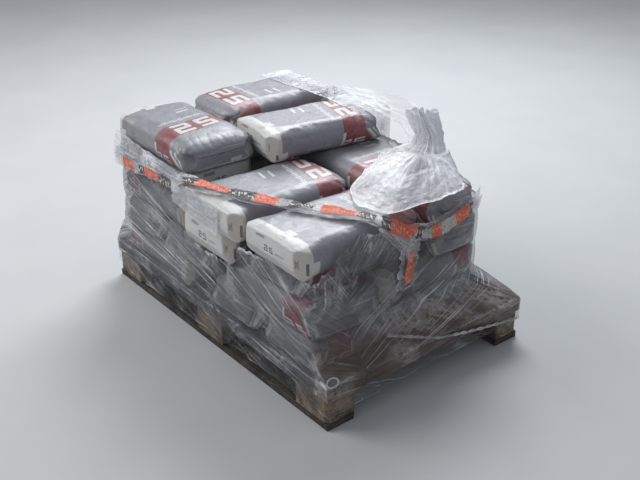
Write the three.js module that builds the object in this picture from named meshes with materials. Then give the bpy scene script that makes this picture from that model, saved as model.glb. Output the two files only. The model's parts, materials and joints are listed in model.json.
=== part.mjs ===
// Pallet of filled sacks, part unloaded, with torn stretch film still round the load.
// Millimetres, +Z up. Origin on the floor under the middle of the pallet, X along its long side.
import * as THREE from "three";

// Pallet: long side, short side and the height of each course of wood.
const PALLET_X = 1200;
const PALLET_Y = 800;
const BOARD = 22;
const BLOCK = 78;
const SEAT = 0.3;
const WIDE = 145;
const NARROW = 100;
const DECK_TOP = BOARD + BLOCK + BOARD + BOARD;
const CORNER_CUT = 14;

// Sacks: the pitch of the layers and the shape of one sack.
const LAYER_PITCH = 101.2;
const SACK_HEIGHT = LAYER_PITCH - SEAT;
const SIDE_ROLL = 50;
const ROLL_STEPS = 6;
// Along a sack, from each end: distance in, how much narrower on each side, share of full height.
const WHITE_END = [
  [0, 33, 0.66],
  [10, 17, 0.85],
  [36, 5, 0.97],
  [92, 0, 1],
];
const GREY_END = [
  [92, 0, 1],
  [38, 8, 0.95],
  [12, 26, 0.78],
  [0, 47, 0.52],
];
// Extra narrowing of an end that the film pulls tight round a corner of the stack.
const PINCH = [0, 9, 26, 30];

// Film: wall of the skirt, and where its lower edge and the deck's edge are.
const FILM = 1;
const FILM_CORNER = 2;
const FILM_FOOT = 100;
const FILM_KNEE = 146;
const FILM_ROWS = 7;
// Most turn between two frames of a swept band, in degrees.
const FRAME_TWIST = 3.5;

const WOOD = new THREE.MeshStandardMaterial({ color: 0x6b5f50, roughness: 0.9, metalness: 0 });
const BLOCK_WOOD = new THREE.MeshStandardMaterial({ color: 0x7a6650, roughness: 0.9, metalness: 0 });
const SACK = new THREE.MeshStandardMaterial({ color: 0x86868c, roughness: 0.45, metalness: 0 });
const FILM_SKIN = new THREE.MeshStandardMaterial({ color: 0xd4d6da, roughness: 0.2, metalness: 0 });
const TAPE = new THREE.MeshStandardMaterial({ color: 0xe2632c, roughness: 0.35, metalness: 0 });

const pallet = new THREE.Group();

function add(name, geometry, material) {
  const mesh = new THREE.Mesh(geometry, material);
  mesh.name = name;
  pallet.add(mesh);
}

// A closed skin from a list of points and a list of triangles.
function solid(points, triangles) {
  const geometry = new THREE.BufferGeometry();
  geometry.setAttribute("position", new THREE.Float32BufferAttribute(points.flat(), 3));
  geometry.setIndex(triangles.flat());
  geometry.computeVertexNormals();
  return geometry;
}

// A skin over a row of rings, each with the same number of points. Both ends are closed by a fan, or,
// where the ring is a folded sheet's edge, by a strip between its two sides.
function throughRings(rings, folded = false) {
  const around = rings[0].length;
  const points = rings.flat();
  const triangles = [];
  for (let i = 0; i < rings.length - 1; i += 1) {
    for (let j = 0; j < around; j += 1) {
      const a = i * around + j;
      const b = i * around + ((j + 1) % around);
      triangles.push([a, b, b + around]);
      triangles.push([a, b + around, a + around]);
    }
  }
  const last = (rings.length - 1) * around;
  for (const [start, flip] of [
    [0, true],
    [last, false],
  ]) {
    if (folded) {
      for (let k = 0; k < around / 2 - 1; k += 1) {
        const [a, b, c, d] = [k, k + 1, around - 2 - k, around - 1 - k].map((n) => start + n);
        triangles.push(flip ? [a, c, b] : [a, b, c]);
        triangles.push(flip ? [a, d, c] : [a, c, d]);
      }
      continue;
    }
    const ring = points.slice(start, start + around);
    const middle = [0, 1, 2].map((k) => ring.reduce((sum, p) => sum + p[k], 0) / around);
    const hub = points.length;
    points.push(middle);
    for (let j = 0; j < around; j += 1) {
      const a = start + j;
      const b = start + ((j + 1) % around);
      triangles.push(flip ? [hub, b, a] : [hub, a, b]);
    }
  }
  return solid(points, triangles);
}

function board(name, x0, x1, y0, y1, z0, z1, material) {
  const geometry = new THREE.BoxGeometry(x1 - x0, y1 - y0, z1 - z0);
  geometry.translate((x0 + x1) / 2, (y0 + y1) / 2, (z0 + z1) / 2);
  add(name, geometry, material);
}

// A block, with its upright edges cut off where it stands on a corner of the pallet.
function block(name, cx, cy, wide, deep) {
  const signX = Math.sign(cx);
  const signY = Math.sign(cy);
  const corners = [
    [-1, -1],
    [1, -1],
    [1, 1],
    [-1, 1],
  ];
  const outline = [];
  for (const [sx, sy] of corners) {
    const x = cx + (sx * wide) / 2;
    const y = cy + (sy * deep) / 2;
    const cut = sx === signX && sy === signY ? CORNER_CUT : 0;
    if (cut === 0) {
      outline.push(new THREE.Vector2(x, y));
      continue;
    }
    const along = new THREE.Vector2(x - sx * cut, y);
    const across = new THREE.Vector2(x, y - sy * cut);
    outline.push(...(sx === sy ? [across, along] : [along, across]));
  }
  const shape = new THREE.Shape(outline);
  const low = BOARD;
  const geometry = new THREE.ExtrudeGeometry(shape, { depth: BLOCK - SEAT, bevelEnabled: false });
  geometry.translate(0, 0, low);
  add(name, geometry, BLOCK_WOOD);
}

function palletWood() {
  const hx = PALLET_X / 2;
  const hy = PALLET_Y / 2;
  const rows = [
    ["front", -hy, -hy + NARROW],
    ["middle", -WIDE / 2, WIDE / 2],
    ["rear", hy - NARROW, hy],
  ];
  // The middle row has lost its block at the right end, and its board ends under the centre block.
  for (const [row, y0, y1] of rows) {
    const end = row === "middle" ? WIDE / 2 : hx;
    board(`bottom_board_${row}`, -hx, end, y0, y1, 0, BOARD - SEAT, WOOD);
  }
  const columns = [
    ["left", -hx + WIDE / 2],
    ["centre", 0],
    ["right", hx - WIDE / 2],
  ];
  for (const [row, y0, y1] of rows) {
    for (const [column, x] of columns) {
      if (row !== "middle" || column !== "right") {
        block(`block_${row}_${column}`, x, (y0 + y1) / 2, WIDE, y1 - y0);
      }
    }
  }
  const crossZ = BOARD + BLOCK;
  for (const [column, x] of columns) {
    board(`cross_board_${column}`, x - WIDE / 2, x + WIDE / 2, -hy, hy, crossZ, crossZ + BOARD - SEAT, WOOD);
  }
  const widths = [WIDE, NARROW, WIDE, NARROW, WIDE];
  const slot = (PALLET_Y - widths.reduce((sum, w) => sum + w, 0)) / (widths.length - 1);
  let y = -hy;
  widths.forEach((width, i) => {
    board(`deck_board_${i + 1}`, -hx, hx, y, y + width, DECK_TOP - BOARD, DECK_TOP, WOOD);
    y += width + slot;
  });
}

// One ring of a sack's skin: flat top and bottom, with a rolled side left and right.
function sackRing(s, half, height) {
  const ring = [];
  const mid = SACK_HEIGHT / 2;
  const flat = half - SIDE_ROLL;
  for (const side of [1, -1]) {
    for (let i = 0; i <= ROLL_STEPS; i += 1) {
      const turn = side * (-Math.PI / 2 + (Math.PI * i) / ROLL_STEPS);
      ring.push([s, side * (flat + SIDE_ROLL * Math.cos(turn)), mid + (height / 2) * Math.sin(turn)]);
    }
  }
  return ring;
}

// A filled sack in the box x0..x1, y0..y1 on the given layer. White names the side its white end
// faces, pinched that its grey end is drawn in, and skew how far it has slid round, in degrees.
function sack(name, layer, x0, x1, y0, y1, white, { pinched = false, skew = 0 } = {}) {
  const alongX = white.endsWith("x");
  const length = alongX ? x1 - x0 : y1 - y0;
  const half = (alongX ? y1 - y0 : x1 - x0) / 2;
  const rings = [];
  for (const [inset, narrow, share] of WHITE_END) {
    rings.push(sackRing(inset, half - narrow, SACK_HEIGHT * share));
  }
  GREY_END.forEach(([inset, narrow, share], i) => {
    const extra = pinched ? PINCH[i] : 0;
    rings.push(sackRing(length - inset, half - narrow - extra, SACK_HEIGHT * share));
  });
  const geometry = throughRings(rings);
  const turns = { "-x": 0, "-y": 90, "+x": 180, "+y": 270 };
  const z = DECK_TOP + SEAT + (layer - 1) * LAYER_PITCH;
  geometry.translate(-length / 2, 0, 0);
  geometry.rotateZ(THREE.MathUtils.degToRad(turns[white] + skew));
  geometry.translate((x0 + x1) / 2, (y0 + y1) / 2, z);
  add(name, geometry, SACK);
}

function load() {
  sack("sack_1_front_left", 1, -558, -101, -402, -124, "+x");
  sack("sack_1_rear_left", 1, -558, -297, -118, 340, "+y");
  sack("sack_1_rear_middle", 1, -294, -19, -118, 340, "-y");
  sack("sack_1_front_middle", 1, -16, 259, -396, 62, "+y");
  sack("sack_1_front_right", 1, 264, 540, -392, 66, "+y");
  sack("sack_1_rear_right", 1, 55, 513, 70, 311, "-x", { pinched: true });

  sack("sack_2_front_left", 2, -545, -284, -405, 52, "+y");
  sack("sack_2_front_middle", 2, -281, -5, -405, 52, "+y");
  sack("sack_2_rear_left", 2, -545, -88, 58, 335, "+x");
  sack("sack_2_front_right", 2, 79, 536, -402, -124, "-x");
  sack("sack_2_rear_middle", 2, -2, 264, -118, 340, "-y");
  sack("sack_2_rear_right", 2, 268, 516, -118, 311, "-y", { pinched: true });

  sack("sack_3_front_left", 3, -545, -110, -398, -120, "+x");
  sack("sack_3_rear_left", 3, -545, -284, -115, 343, "-y");
  sack("sack_3_front_middle", 3, -105, 165, -425, 33, "-y");
  sack("sack_3_front_right", 3, 190, 462, -385, 72, "+y");
  sack("sack_3_rear_middle", 3, -280, 66, 45, 340, "+x");
  sack("sack_3_rear_right", 3, 72, 512, 78, 311, "-x", { pinched: true });

  sack("sack_4_front_left", 4, -530, -95, -400, -122, "+x");
  sack("sack_4_rear_left", 4, -540, -264, -116, 342, "-y");
  sack("sack_4_front_middle", 4, -50, 230, -445, 22, "-y");
  sack("sack_4_front_right", 4, 255, 533, -440, 30, "-y");
  sack("sack_4_rear_middle", 4, -168, 292, 46, 323, "-x");
  sack("sack_4_rear_right", 4, 298, 518, 46, 281, "-x", { pinched: true });

  sack("sack_5_front_left", 5, -525, -75, -406, -130, "-x");
  sack("sack_5_rear_left", 5, -553, -280, -112, 353, "+y");
  sack("sack_5_rear_middle", 5, -234, 42, -136, 323, "-y", { skew: -7 });
}

// A value read off a table of [place, value] pairs, straight between them.
function between(table, at) {
  if (at <= table[0][0]) {
    return table[0][1];
  }
  for (let i = 1; i < table.length; i += 1) {
    const [a, va] = table[i - 1];
    const [b, vb] = table[i];
    if (at <= b) {
      return va + ((vb - va) * (at - a)) / (b - a);
    }
  }
  return table[table.length - 1][1];
}

// Where each side of the film stands at a height, as [height, distance out from the middle].
const FILM_FRONT = [
  [146, 402.5],
  [180, 404.5],
  [250, 407],
];
const FILM_RIGHT = [
  [146, 602.5],
  [262, 541.5],
];
const FILM_REAR = [
  [146, 402.5],
  [262, 352],
];
const FILM_LEFT = [
  [146, 602.5],
  [250, 567],
  [300, 549],
  [440, 549],
  [500, 545],
  [550, 537],
];
// The corner that the film rounds at the rear right, well inside the others: the middle of its curve
// at the lower and at the upper sacks, and the angle round it where the straight right side ends.
const DRAWN_IN = [
  [456, 454.1, 195.2],
  [508, 458.6, 164.7],
];
const DRAWN_REACH = [66, 120];
const DRAWN_FROM = 15;
// Where the right and the rear side begin to lean in towards that corner.
const LEAN_RIGHT = 66;
const LEAN_REAR = 264;
// The torn top edge along each side, as [place along the side, height].
const TOP_FRONT = [
  [-484, 541],
  [-450, 533],
  [-410, 520],
  [-340, 505],
  [-270, 502],
  [-200, 502],
  [-130, 500],
  [-112, 343],
  [-60, 343],
  [20, 343],
  [100, 343],
  [172, 343],
  [200, 425],
  [260, 438],
  [340, 440],
  [420, 440],
  [500, 442],
];
const TOP_RIGHT = [
  [-360, 468],
  [-300, 515],
  [-240, 538],
  [-165, 531],
  [-120, 522],
  [-60, 500],
  [0, 470],
  [60, 470],
  [130, 485],
  [170, 500],
  [200, 504],
];
const TOP_REAR = [425, 340, 260, 180, 80, -20, -120, -220, -320, -420, -510];
const TOP_LEFT = [330, 230, 130, 30, -70, -170, -260, -335];

// The rear right corner at a height, as a function from the angle round it to its x and y.
function drawnCorner(z, up, wall) {
  const share = Math.max(0, Math.min(1, (z - DRAWN_IN[0][0]) / (DRAWN_IN[1][0] - DRAWN_IN[0][0])));
  const high = [1, 2].map((k) => DRAWN_IN[0][k] + (DRAWN_IN[1][k] - DRAWN_IN[0][k]) * share);
  const low = [between(FILM_RIGHT, FILM_KNEE), between(FILM_REAR, FILM_KNEE)].map((v) => v - FILM_CORNER);
  const reach = DRAWN_REACH.map((r) => FILM_CORNER + (r - FILM_CORNER) * up - wall);
  const middle = low.map((v, k) => v + (high[k] - v) * up);
  return (degrees) => {
    const angle = (degrees * Math.PI) / 180;
    return [middle[0] + reach[0] * Math.cos(angle), middle[1] + reach[1] * Math.sin(angle)];
  };
}

// One point of the film's outline, on its outside (wall 0) or its inside (wall FILM).
function filmPoint(side, along, z, wall) {
  const up = Math.max(0, Math.min(1, (z - FILM_KNEE) / 104));
  const front = between(FILM_FRONT, z) - wall;
  const right = between(FILM_RIGHT, z) - wall;
  const rear = between(FILM_REAR, z) - wall;
  const left = between(FILM_LEFT, z) - wall;
  const round = FILM_CORNER + 28 * up - wall;
  const spread = 1 + 0.09 * (1 - up);
  const drawn = drawnCorner(z, up, wall);
  if (side === "front") {
    return [along * spread, -front, z];
  }
  if (side === "right") {
    const [endX, endY] = drawn(DRAWN_FROM);
    const lean = Math.max(0, (along * spread - LEAN_RIGHT) / (endY - LEAN_RIGHT));
    return [right + (endX - right) * up * Math.min(1, lean), along * spread, z];
  }
  if (side === "rear") {
    const [endX, endY] = drawn(90);
    const lean = Math.max(0, (along * spread - LEAN_REAR) / (endX - LEAN_REAR));
    return [along * spread, rear + (endY - rear) * up * Math.min(1, lean), z];
  }
  if (side === "left") {
    return [-left, along * spread, z];
  }
  const angle = (along * Math.PI) / 180;
  if (side === "front_right") {
    return [right - round + round * Math.sin(angle), -front + round - round * Math.cos(angle), z];
  }
  if (side === "rear_right") {
    return [...drawn(along), z];
  }
  if (side === "rear_left") {
    return [-left + round - round * Math.sin(angle), rear - round + round * Math.cos(angle), z];
  }
  const wide = FILM_CORNER + 58 * up - wall;
  return [-left + wide - wide * Math.cos(angle), -front + wide - wide * Math.sin(angle), z];
}

function filmSkirt() {
  const columns = [];
  TOP_FRONT.forEach(([x, top]) => columns.push(["front", x, top]));
  [20, 45, 70].forEach((angle) => columns.push(["front_right", angle, 445]));
  TOP_RIGHT.forEach(([y, top]) => columns.push(["right", y, top]));
  [DRAWN_FROM, 40, 65, 90].forEach((angle) => columns.push(["rear_right", angle, 508]));
  TOP_REAR.forEach((x, i) => columns.push(["rear", x, 520 + 2 * i]));
  [20, 45, 70].forEach((angle) => columns.push(["rear_left", angle, 542]));
  TOP_LEFT.forEach((y) => columns.push(["left", y, 544]));
  [20, 45, 66, 82].forEach((angle) => columns.push(["front_left", angle, 544]));

  const heights = (top) => {
    const list = [FILM_FOOT, FILM_KNEE];
    for (let i = 1; i <= FILM_ROWS; i += 1) {
      list.push(FILM_KNEE + ((top - FILM_KNEE) * i) / FILM_ROWS);
    }
    return list;
  };
  const points = [];
  const rows = FILM_ROWS + 2;
  for (const wall of [0, FILM]) {
    for (const [side, along, top] of columns) {
      for (const z of heights(top)) {
        points.push(filmPoint(side, along, z, wall));
      }
    }
  }
  const inner = columns.length * rows;
  const triangles = [];
  const quad = (a, b, c, d) => triangles.push([a, b, c], [a, c, d]);
  for (let i = 0; i < columns.length; i += 1) {
    const a = i * rows;
    const b = ((i + 1) % columns.length) * rows;
    for (let j = 0; j < rows - 1; j += 1) {
      quad(a + j, b + j, b + j + 1, a + j + 1);
      quad(inner + b + j, inner + a + j, inner + a + j + 1, inner + b + j + 1);
    }
    quad(b, a, inner + a, inner + b);
    const e = rows - 1;
    quad(a + e, b + e, inner + b + e, inner + a + e);
  }
  add("film_skirt", solid(points, triangles), FILM_SKIN);
}

// How low the film's last turn hangs along each side, as [place along the side, height].
const HEM_FRONT = [
  [-594, 60],
  [-520, 48],
  [-427, 42],
  [-307, 43],
  [-220, 49],
  [-72, 46],
  [110, 51],
  [250, 56],
  [397, 57],
  [520, 52],
  [594, 53],
];
const HEM_RIGHT = [
  [-394, 50],
  [-300, 54],
  [-200, 56],
  [-85, 60],
  [40, 68],
  [160, 66],
  [265, 67],
  [394, 71],
];
const HEM_REAR = [594, 400, 200, 0, -200, -400, -594];
const HEM_LEFT = [394, 200, 0, -200, -394];

// The last turn of film, hanging below the deck from the foot of the skirt.
function filmHem() {
  const halfX = between(FILM_RIGHT, FILM_KNEE);
  const halfY = between(FILM_FRONT, FILM_KNEE);
  const columns = [
    ...HEM_FRONT.map(([x, low]) => [x, -halfY, low]),
    ...HEM_RIGHT.map(([y, low]) => [halfX, y, low]),
    ...HEM_REAR.map((x, i) => [x, halfY, 66 + 4 * (i % 2)]),
    ...HEM_LEFT.map((y, i) => [-halfX, y, 62 + 5 * (i % 2)]),
  ];
  const rings = columns.map(([x, y, low]) => {
    const inX = x * (1 - FILM / halfX);
    const inY = y * (1 - FILM / halfY);
    return [
      [x, y, low],
      [x, y, FILM_FOOT - SEAT],
      [inX, inY, FILM_FOOT - SEAT],
      [inX, inY, low],
    ];
  });
  const points = rings.flat();
  const triangles = [];
  for (let i = 0; i < rings.length; i += 1) {
    const a = i * 4;
    const b = ((i + 1) % rings.length) * 4;
    for (let j = 0; j < 4; j += 1) {
      const k = (j + 1) % 4;
      triangles.push([a + j, b + j, b + k], [a + j, b + k, a + k]);
    }
  }
  add("film_hem", solid(points, triangles), FILM_SKIN);
}

// The path of the bunched edge: a point, then the way its outside faces.
const COLLAR = [
  [-553.7, -270, 500, -1, 0, 0],
  [-553.7, -330, 497, -1, 0, 0],
  [-553.7, -347, 496.5, -1, 0, 0],
  [-548.5, -375.8, 495.5, -0.906, -0.423, 0],
  [-531, -399.3, 495, -0.643, -0.766, 0],
  [-504.7, -413, 495, -0.259, -0.966, 0],
  [-480, -414.6, 495, 0, -1, 0],
  [-380, -413.8, 500, 0, -1, 0],
  [-227, -413.8, 512, 0, -1, 0],
  [-150, -414, 508, 0, -1, 0],
  [-100, -418, 520, 0, -1, 0.1],
  [-66, -424, 542, 0, -0.75, 0.66],
  [-25, -420, 557.5, 0, -0.2, 0.98],
  [60, -395, 557, 0, 0, 1],
  [170, -350, 557, 0, 0, 1],
  [280, -302, 557, 0, 0, 1],
  [400, -235, 557, 0, 0, 1],
  [480, -190, 557, 0, 0, 1],
  [525, -165, 556, 0.4, 0, 0.92],
  [545, -140, 545, 0.85, 0, 0.53],
  [548.5, -95, 517, 1, 0, 0],
  [548.5, 0, 480, 1, 0, 0],
  [548.5, 50, 482.5, 1, 0, 0],
  [547.7, 75, 484, 0.99, 0.14, 0],
  [534.2, 165, 497, 0.989, 0.146, 0],
  [529.6, 197, 501, 0.989, 0.146, 0],
  [525.2, 221.2, 503.5, 0.98, 0.196, 0],
  [519.9, 240.9, 505, 0.953, 0.303, 0],
  [509.2, 266.9, 506, 0.876, 0.482, 0],
  [494.5, 287.5, 507, 0.724, 0.69, 0],
];

// The frames along a path: the point, outward and across the band. They come closer where it twists.
function framesAlong(path) {
  const places = [];
  for (let i = 0; i < path.length - 1; i += 1) {
    const [from, to] = [path[i], path[i + 1]].map((at) => new THREE.Vector3(...at.slice(3)));
    const steps = Math.max(1, Math.ceil(THREE.MathUtils.radToDeg(from.angleTo(to)) / FRAME_TWIST));
    for (let k = 0; k < steps; k += 1) {
      places.push(path[i].map((v, n) => v + ((path[i + 1][n] - v) * k) / steps));
    }
  }
  places.push(path[path.length - 1]);
  return places.map((at, i) => {
    const before = places[Math.max(0, i - 1)];
    const after = places[Math.min(places.length - 1, i + 1)];
    const out = new THREE.Vector3(...at.slice(3)).normalize();
    const way = new THREE.Vector3(...[0, 1, 2].map((n) => after[n] - before[n])).normalize();
    const across = new THREE.Vector3().crossVectors(out, way).normalize();
    return { p: new THREE.Vector3(...at.slice(0, 3)), out, across };
  });
}

// A band of the given half width, from low to high above its path, with its edges cut off.
function band(frames, halfWide, low, high, corner) {
  const profile = [
    [-halfWide + corner, low],
    [halfWide - corner, low],
    [halfWide, low + corner],
    [halfWide, high - corner],
    [halfWide - corner, high],
    [-halfWide + corner, high],
    [-halfWide, high - corner],
    [-halfWide, low + corner],
  ];
  const rings = frames.map(({ p, out, across }) =>
    profile.map(([w, h]) => p.clone().addScaledVector(across, w).addScaledVector(out, h).toArray()),
  );
  return throughRings(rings);
}

function filmPieces() {
  filmSkirt();
  filmHem();
  const collar = framesAlong(COLLAR);
  add("film_collar", band(collar, 20, -6, 6, 4), FILM_SKIN);
  add("printed_tape", band(collar.slice(2, -2), 14, 6.95, 7.9, 0.3), TAPE);
  const tail = [
    [542.4, -52, 458, 1, 0, 0],
    [542.4, -54, 420, 1, 0, 0],
    [542.4, -58, 366, 1, 0, 0],
    [542.4, -62, 320, 1, 0, 0],
  ];
  add("tape_tail", band(framesAlong(tail), 23, -0.5, 0.5, 0.2), TAPE);

  // The twisted lower edge, along the end of the deck and up over the slope of the film.
  const ropePath = new THREE.CatmullRomCurve3(
    [
      [609.4, 386, 80],
      [609.4, 290, 94],
      [609.4, 160, 117],
      [609.6, 60, 139],
      [607.8, 10, 152],
      [592.8, -80, 184],
      [577, -165, 214],
    ].map((p) => new THREE.Vector3(...p)),
  );
  const ropeRings = [];
  const steps = 16;
  for (let i = 0; i <= steps; i += 1) {
    const p = ropePath.getPoint(i / steps);
    const ring = [];
    for (let k = 0; k < 8; k += 1) {
      const angle = (k * Math.PI) / 4;
      ring.push([p.x + 6 * Math.cos(angle), p.y, p.z + 6 * Math.sin(angle)]);
    }
    ropeRings.push(ring);
  }
  add("film_rope", throughRings(ropeRings), FILM_SKIN);

  // The loose heap: a lumpy mound with a flat foot on the sacks under it.
  const edge = [
    [187, 144],
    [218, 74],
    [251, 12],
    [312, -85],
    [420, -135],
    [508, -105],
    [526, 0],
    [528, 100],
    [520, 182],
    [482, 216],
    [440, 250],
    [350, 290],
    [250, 296],
    [138, 286],
  ];
  const foot = DECK_TOP + SEAT + 4 * LAYER_PITCH + 0.3;
  const centre = [330, 135];
  const shells = 6;
  const rings = [];
  rings.push(edge.map(([x, y]) => [x, y, foot]));
  for (let i = 0; i <= shells; i += 1) {
    const share = 1 - i / (shells + 0.6);
    rings.push(
      edge.map(([ex, ey]) => {
        const x = centre[0] + (ex - centre[0]) * share;
        const y = centre[1] + (ey - centre[1]) * share;
        const hill = Math.exp(-((x - 318) ** 2) / 17000 - (y - 205) ** 2 / 9000);
        const lump = 7 * Math.sin(x / 23 + 1) * Math.cos(y / 31);
        return [x, y, foot + 5 + (165 * hill + 24 + lump) * (1 - share ** 4)];
      }),
    );
  }
  add("film_heap", throughRings(rings), FILM_SKIN);

  // The loose sheet over the rear ends of the top sacks: a flap on top and a drop behind.
  const top = DECK_TOP + SEAT + 4 * LAYER_PITCH + SACK_HEIGHT + 0.3;
  const profile = [
    [225, top],
    [348, top],
    [354.5, top - 7],
    [354.5, 470],
    [355.7, 470],
    [355.7, top - 6],
    [348.5, top + 1.2],
    [225, top + 1.2],
  ];
  const stations = [-548, -460, -370, -280, -190, -100, -20, 12];
  const sheetRings = stations.map((x, i) => {
    const sway = 6 * Math.sin(i * 1.9);
    return profile.map(([y, z], k) => {
      const free = k === 0 || k === 7;
      const low = k === 3 || k === 4;
      return [x, free ? y + 3 * sway : y, low ? z + sway : z];
    });
  });
  add("film_back_sheet", throughRings(sheetRings, true), FILM_SKIN);
}

palletWood();
load();
filmPieces();

export default pallet;
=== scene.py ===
"""Looks of a pallet of filled sacks with torn stretch film round them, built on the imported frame.

Metres, +Z up. The origin is on the floor under the middle of the pallet and X runs along its long side.
The sacks stand with a white folded end and a grey gathered end. In a sack's own axes, s runs from the
white end to the grey end, y to the left of that way, z up from its underside.
"""

import json
import logging
import math
from dataclasses import dataclass, field
from enum import Enum
from typing import Any

import bpy
import numpy as np
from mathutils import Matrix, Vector

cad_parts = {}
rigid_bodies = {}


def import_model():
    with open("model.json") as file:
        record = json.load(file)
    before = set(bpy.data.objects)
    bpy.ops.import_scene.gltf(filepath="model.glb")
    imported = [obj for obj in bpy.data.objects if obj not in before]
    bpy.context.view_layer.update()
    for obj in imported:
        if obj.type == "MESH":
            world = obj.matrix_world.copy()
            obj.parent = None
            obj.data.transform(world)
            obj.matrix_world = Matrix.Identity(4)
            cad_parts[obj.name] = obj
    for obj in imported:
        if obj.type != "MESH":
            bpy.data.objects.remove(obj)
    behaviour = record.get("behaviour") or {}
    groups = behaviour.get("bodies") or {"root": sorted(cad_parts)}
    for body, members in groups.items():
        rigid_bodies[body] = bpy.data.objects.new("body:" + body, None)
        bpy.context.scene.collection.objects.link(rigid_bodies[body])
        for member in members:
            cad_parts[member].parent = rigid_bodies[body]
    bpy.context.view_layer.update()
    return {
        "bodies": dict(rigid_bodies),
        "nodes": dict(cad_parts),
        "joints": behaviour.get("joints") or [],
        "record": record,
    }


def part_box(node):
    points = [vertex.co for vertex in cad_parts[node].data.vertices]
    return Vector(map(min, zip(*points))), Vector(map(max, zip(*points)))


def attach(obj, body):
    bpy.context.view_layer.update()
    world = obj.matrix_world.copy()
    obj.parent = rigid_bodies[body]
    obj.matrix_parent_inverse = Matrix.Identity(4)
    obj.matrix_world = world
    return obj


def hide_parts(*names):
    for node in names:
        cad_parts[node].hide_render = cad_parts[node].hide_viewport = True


LOG = logging.getLogger("pallet_of_sacks")
# Large odd numbers that mix the lattice places and the seed of the noise.
PRIMES = (73856093, 19349663, 83492791)
SEED_PRIME = 2654435761
MIXERS = ((13, 1274126177), (16, 2246822519))
WORD = 2**32
BODY = "root"
Socket = bpy.types.NodeSocket
Colour = tuple[float, float, float, float]
Table = tuple[tuple[float, ...], ...]
Array = np.ndarray
Material = bpy.types.Material
Piece = bpy.types.Object
Node = bpy.types.Node


def shade(red: float, green: float, blue: float) -> Colour:
    """A linear colour from three screen values of 0 to 255, by the screen's own curve.

    Args:
        red: Red screen value.
        green: Green screen value.
        blue: Blue screen value.

    Returns:
        The colour, with full alpha.
    """
    parts = [v / 255.0 for v in (red, green, blue)]
    low = [v / 12.92 if v <= 0.04045 else ((v + 0.055) / 1.055) ** 2.4 for v in parts]
    return (low[0], low[1], low[2], 1.0)


# Noise and mesh helpers


def noise(points: Array, cell: float | tuple[float, float, float], seed: int) -> Array:
    """Smooth noise from -1 to 1 over points.

    Each corner of a cubic lattice holds a value hashed from its whole-number place and the seed, and a
    point blends the eight corners round it by 3t^2 - 2t^3 along each axis.

    Args:
        points: Places, with x, y, z last.
        cell: Lattice spacing, one number or one for each axis.
        seed: Whole number that picks the pattern.

    Returns:
        One value for each point.
    """
    scaled = np.asarray(points, float) / np.asarray(cell, float)
    base = np.floor(scaled).astype(np.int64)
    t = scaled - base
    t = t * t * (3.0 - 2.0 * t)
    total = np.zeros(scaled.shape[:-1])
    for corner in range(8):
        step = np.array([corner & 1, (corner >> 1) & 1, (corner >> 2) & 1])
        place = (base + step).astype(np.uint64)
        mixed = np.bitwise_xor.reduce(place * np.array(PRIMES, np.uint64), axis=-1)
        mixed ^= np.uint64(seed * SEED_PRIME % WORD)
        for shift, factor in MIXERS:
            mixed = (mixed ^ (mixed >> np.uint64(shift))) * np.uint64(factor) % np.uint64(WORD)
        value = mixed.astype(float) / (WORD / 2) - 1.0
        weight = np.where(step == 1, t, 1.0 - t).prod(axis=-1)
        total += value * weight
    return total


def ridges(points: Array, cell: float | tuple[float, float, float], seed: int) -> Array:
    """Sharp-crested noise from 0 to 1: one minus the size of two octaves of smooth noise, squared.

    Args:
        points: Places, with x, y, z last.
        cell: Lattice spacing, one number or one for each axis.
        seed: Whole number that picks the pattern.

    Returns:
        One value for each point, 1 on the crests.
    """
    half = np.asarray(cell, float) / 2.1
    broad = 1.0 - np.abs(noise(points, cell, seed))
    fine = 1.0 - np.abs(noise(points, half, seed + 7))
    return (0.68 * broad + 0.32 * fine) ** 2


def ease(value: Array | float, low: float, high: float) -> Array:
    """Rises from 0 at low to 1 at high by 3t^2 - 2t^3.

    Args:
        value: Input.
        low: Where the rise begins.
        high: Where it ends.

    Returns:
        Values from 0 to 1.
    """
    t = np.clip((np.asarray(value, float) - low) / (high - low), 0.0, 1.0)
    return t * t * (3.0 - 2.0 * t)


def joined(*parts: Array | float) -> Array:
    """Points from their coordinates, each spread over the grid that all of them share."""
    return np.stack(np.broadcast_arrays(*parts), -1)


def distances(line: Array) -> Array:
    """How far each point of a line is from its start, along it."""
    return np.concatenate([[0.0], np.cumsum(np.linalg.norm(np.diff(line, axis=0), axis=-1))])


def smoothed(values: Array, width: int) -> Array:
    """Averages columns of values down a bell-shaped window.

    Args:
        values: Rows of values, at even distances.
        width: How many rows the window covers, an odd number.

    Returns:
        As many rows of smoothed values.
    """
    kernel = np.hanning(width) / np.hanning(width).sum()
    padded = np.pad(values, ((width // 2, width // 2), (0, 0)), mode="edge")
    return np.stack([np.convolve(column, kernel, "valid") for column in padded.T], -1)


def read(table: Table, at: Array, column: int = 1) -> Array:
    """A value read off a table by its first column, straight between its rows."""
    return np.interp(at, [row[0] for row in table], [row[column] for row in table])


def unit(vectors: Array) -> Array:
    """Vectors made one long."""
    return vectors / np.maximum(np.linalg.norm(vectors, axis=-1, keepdims=True), 1e-9)


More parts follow.
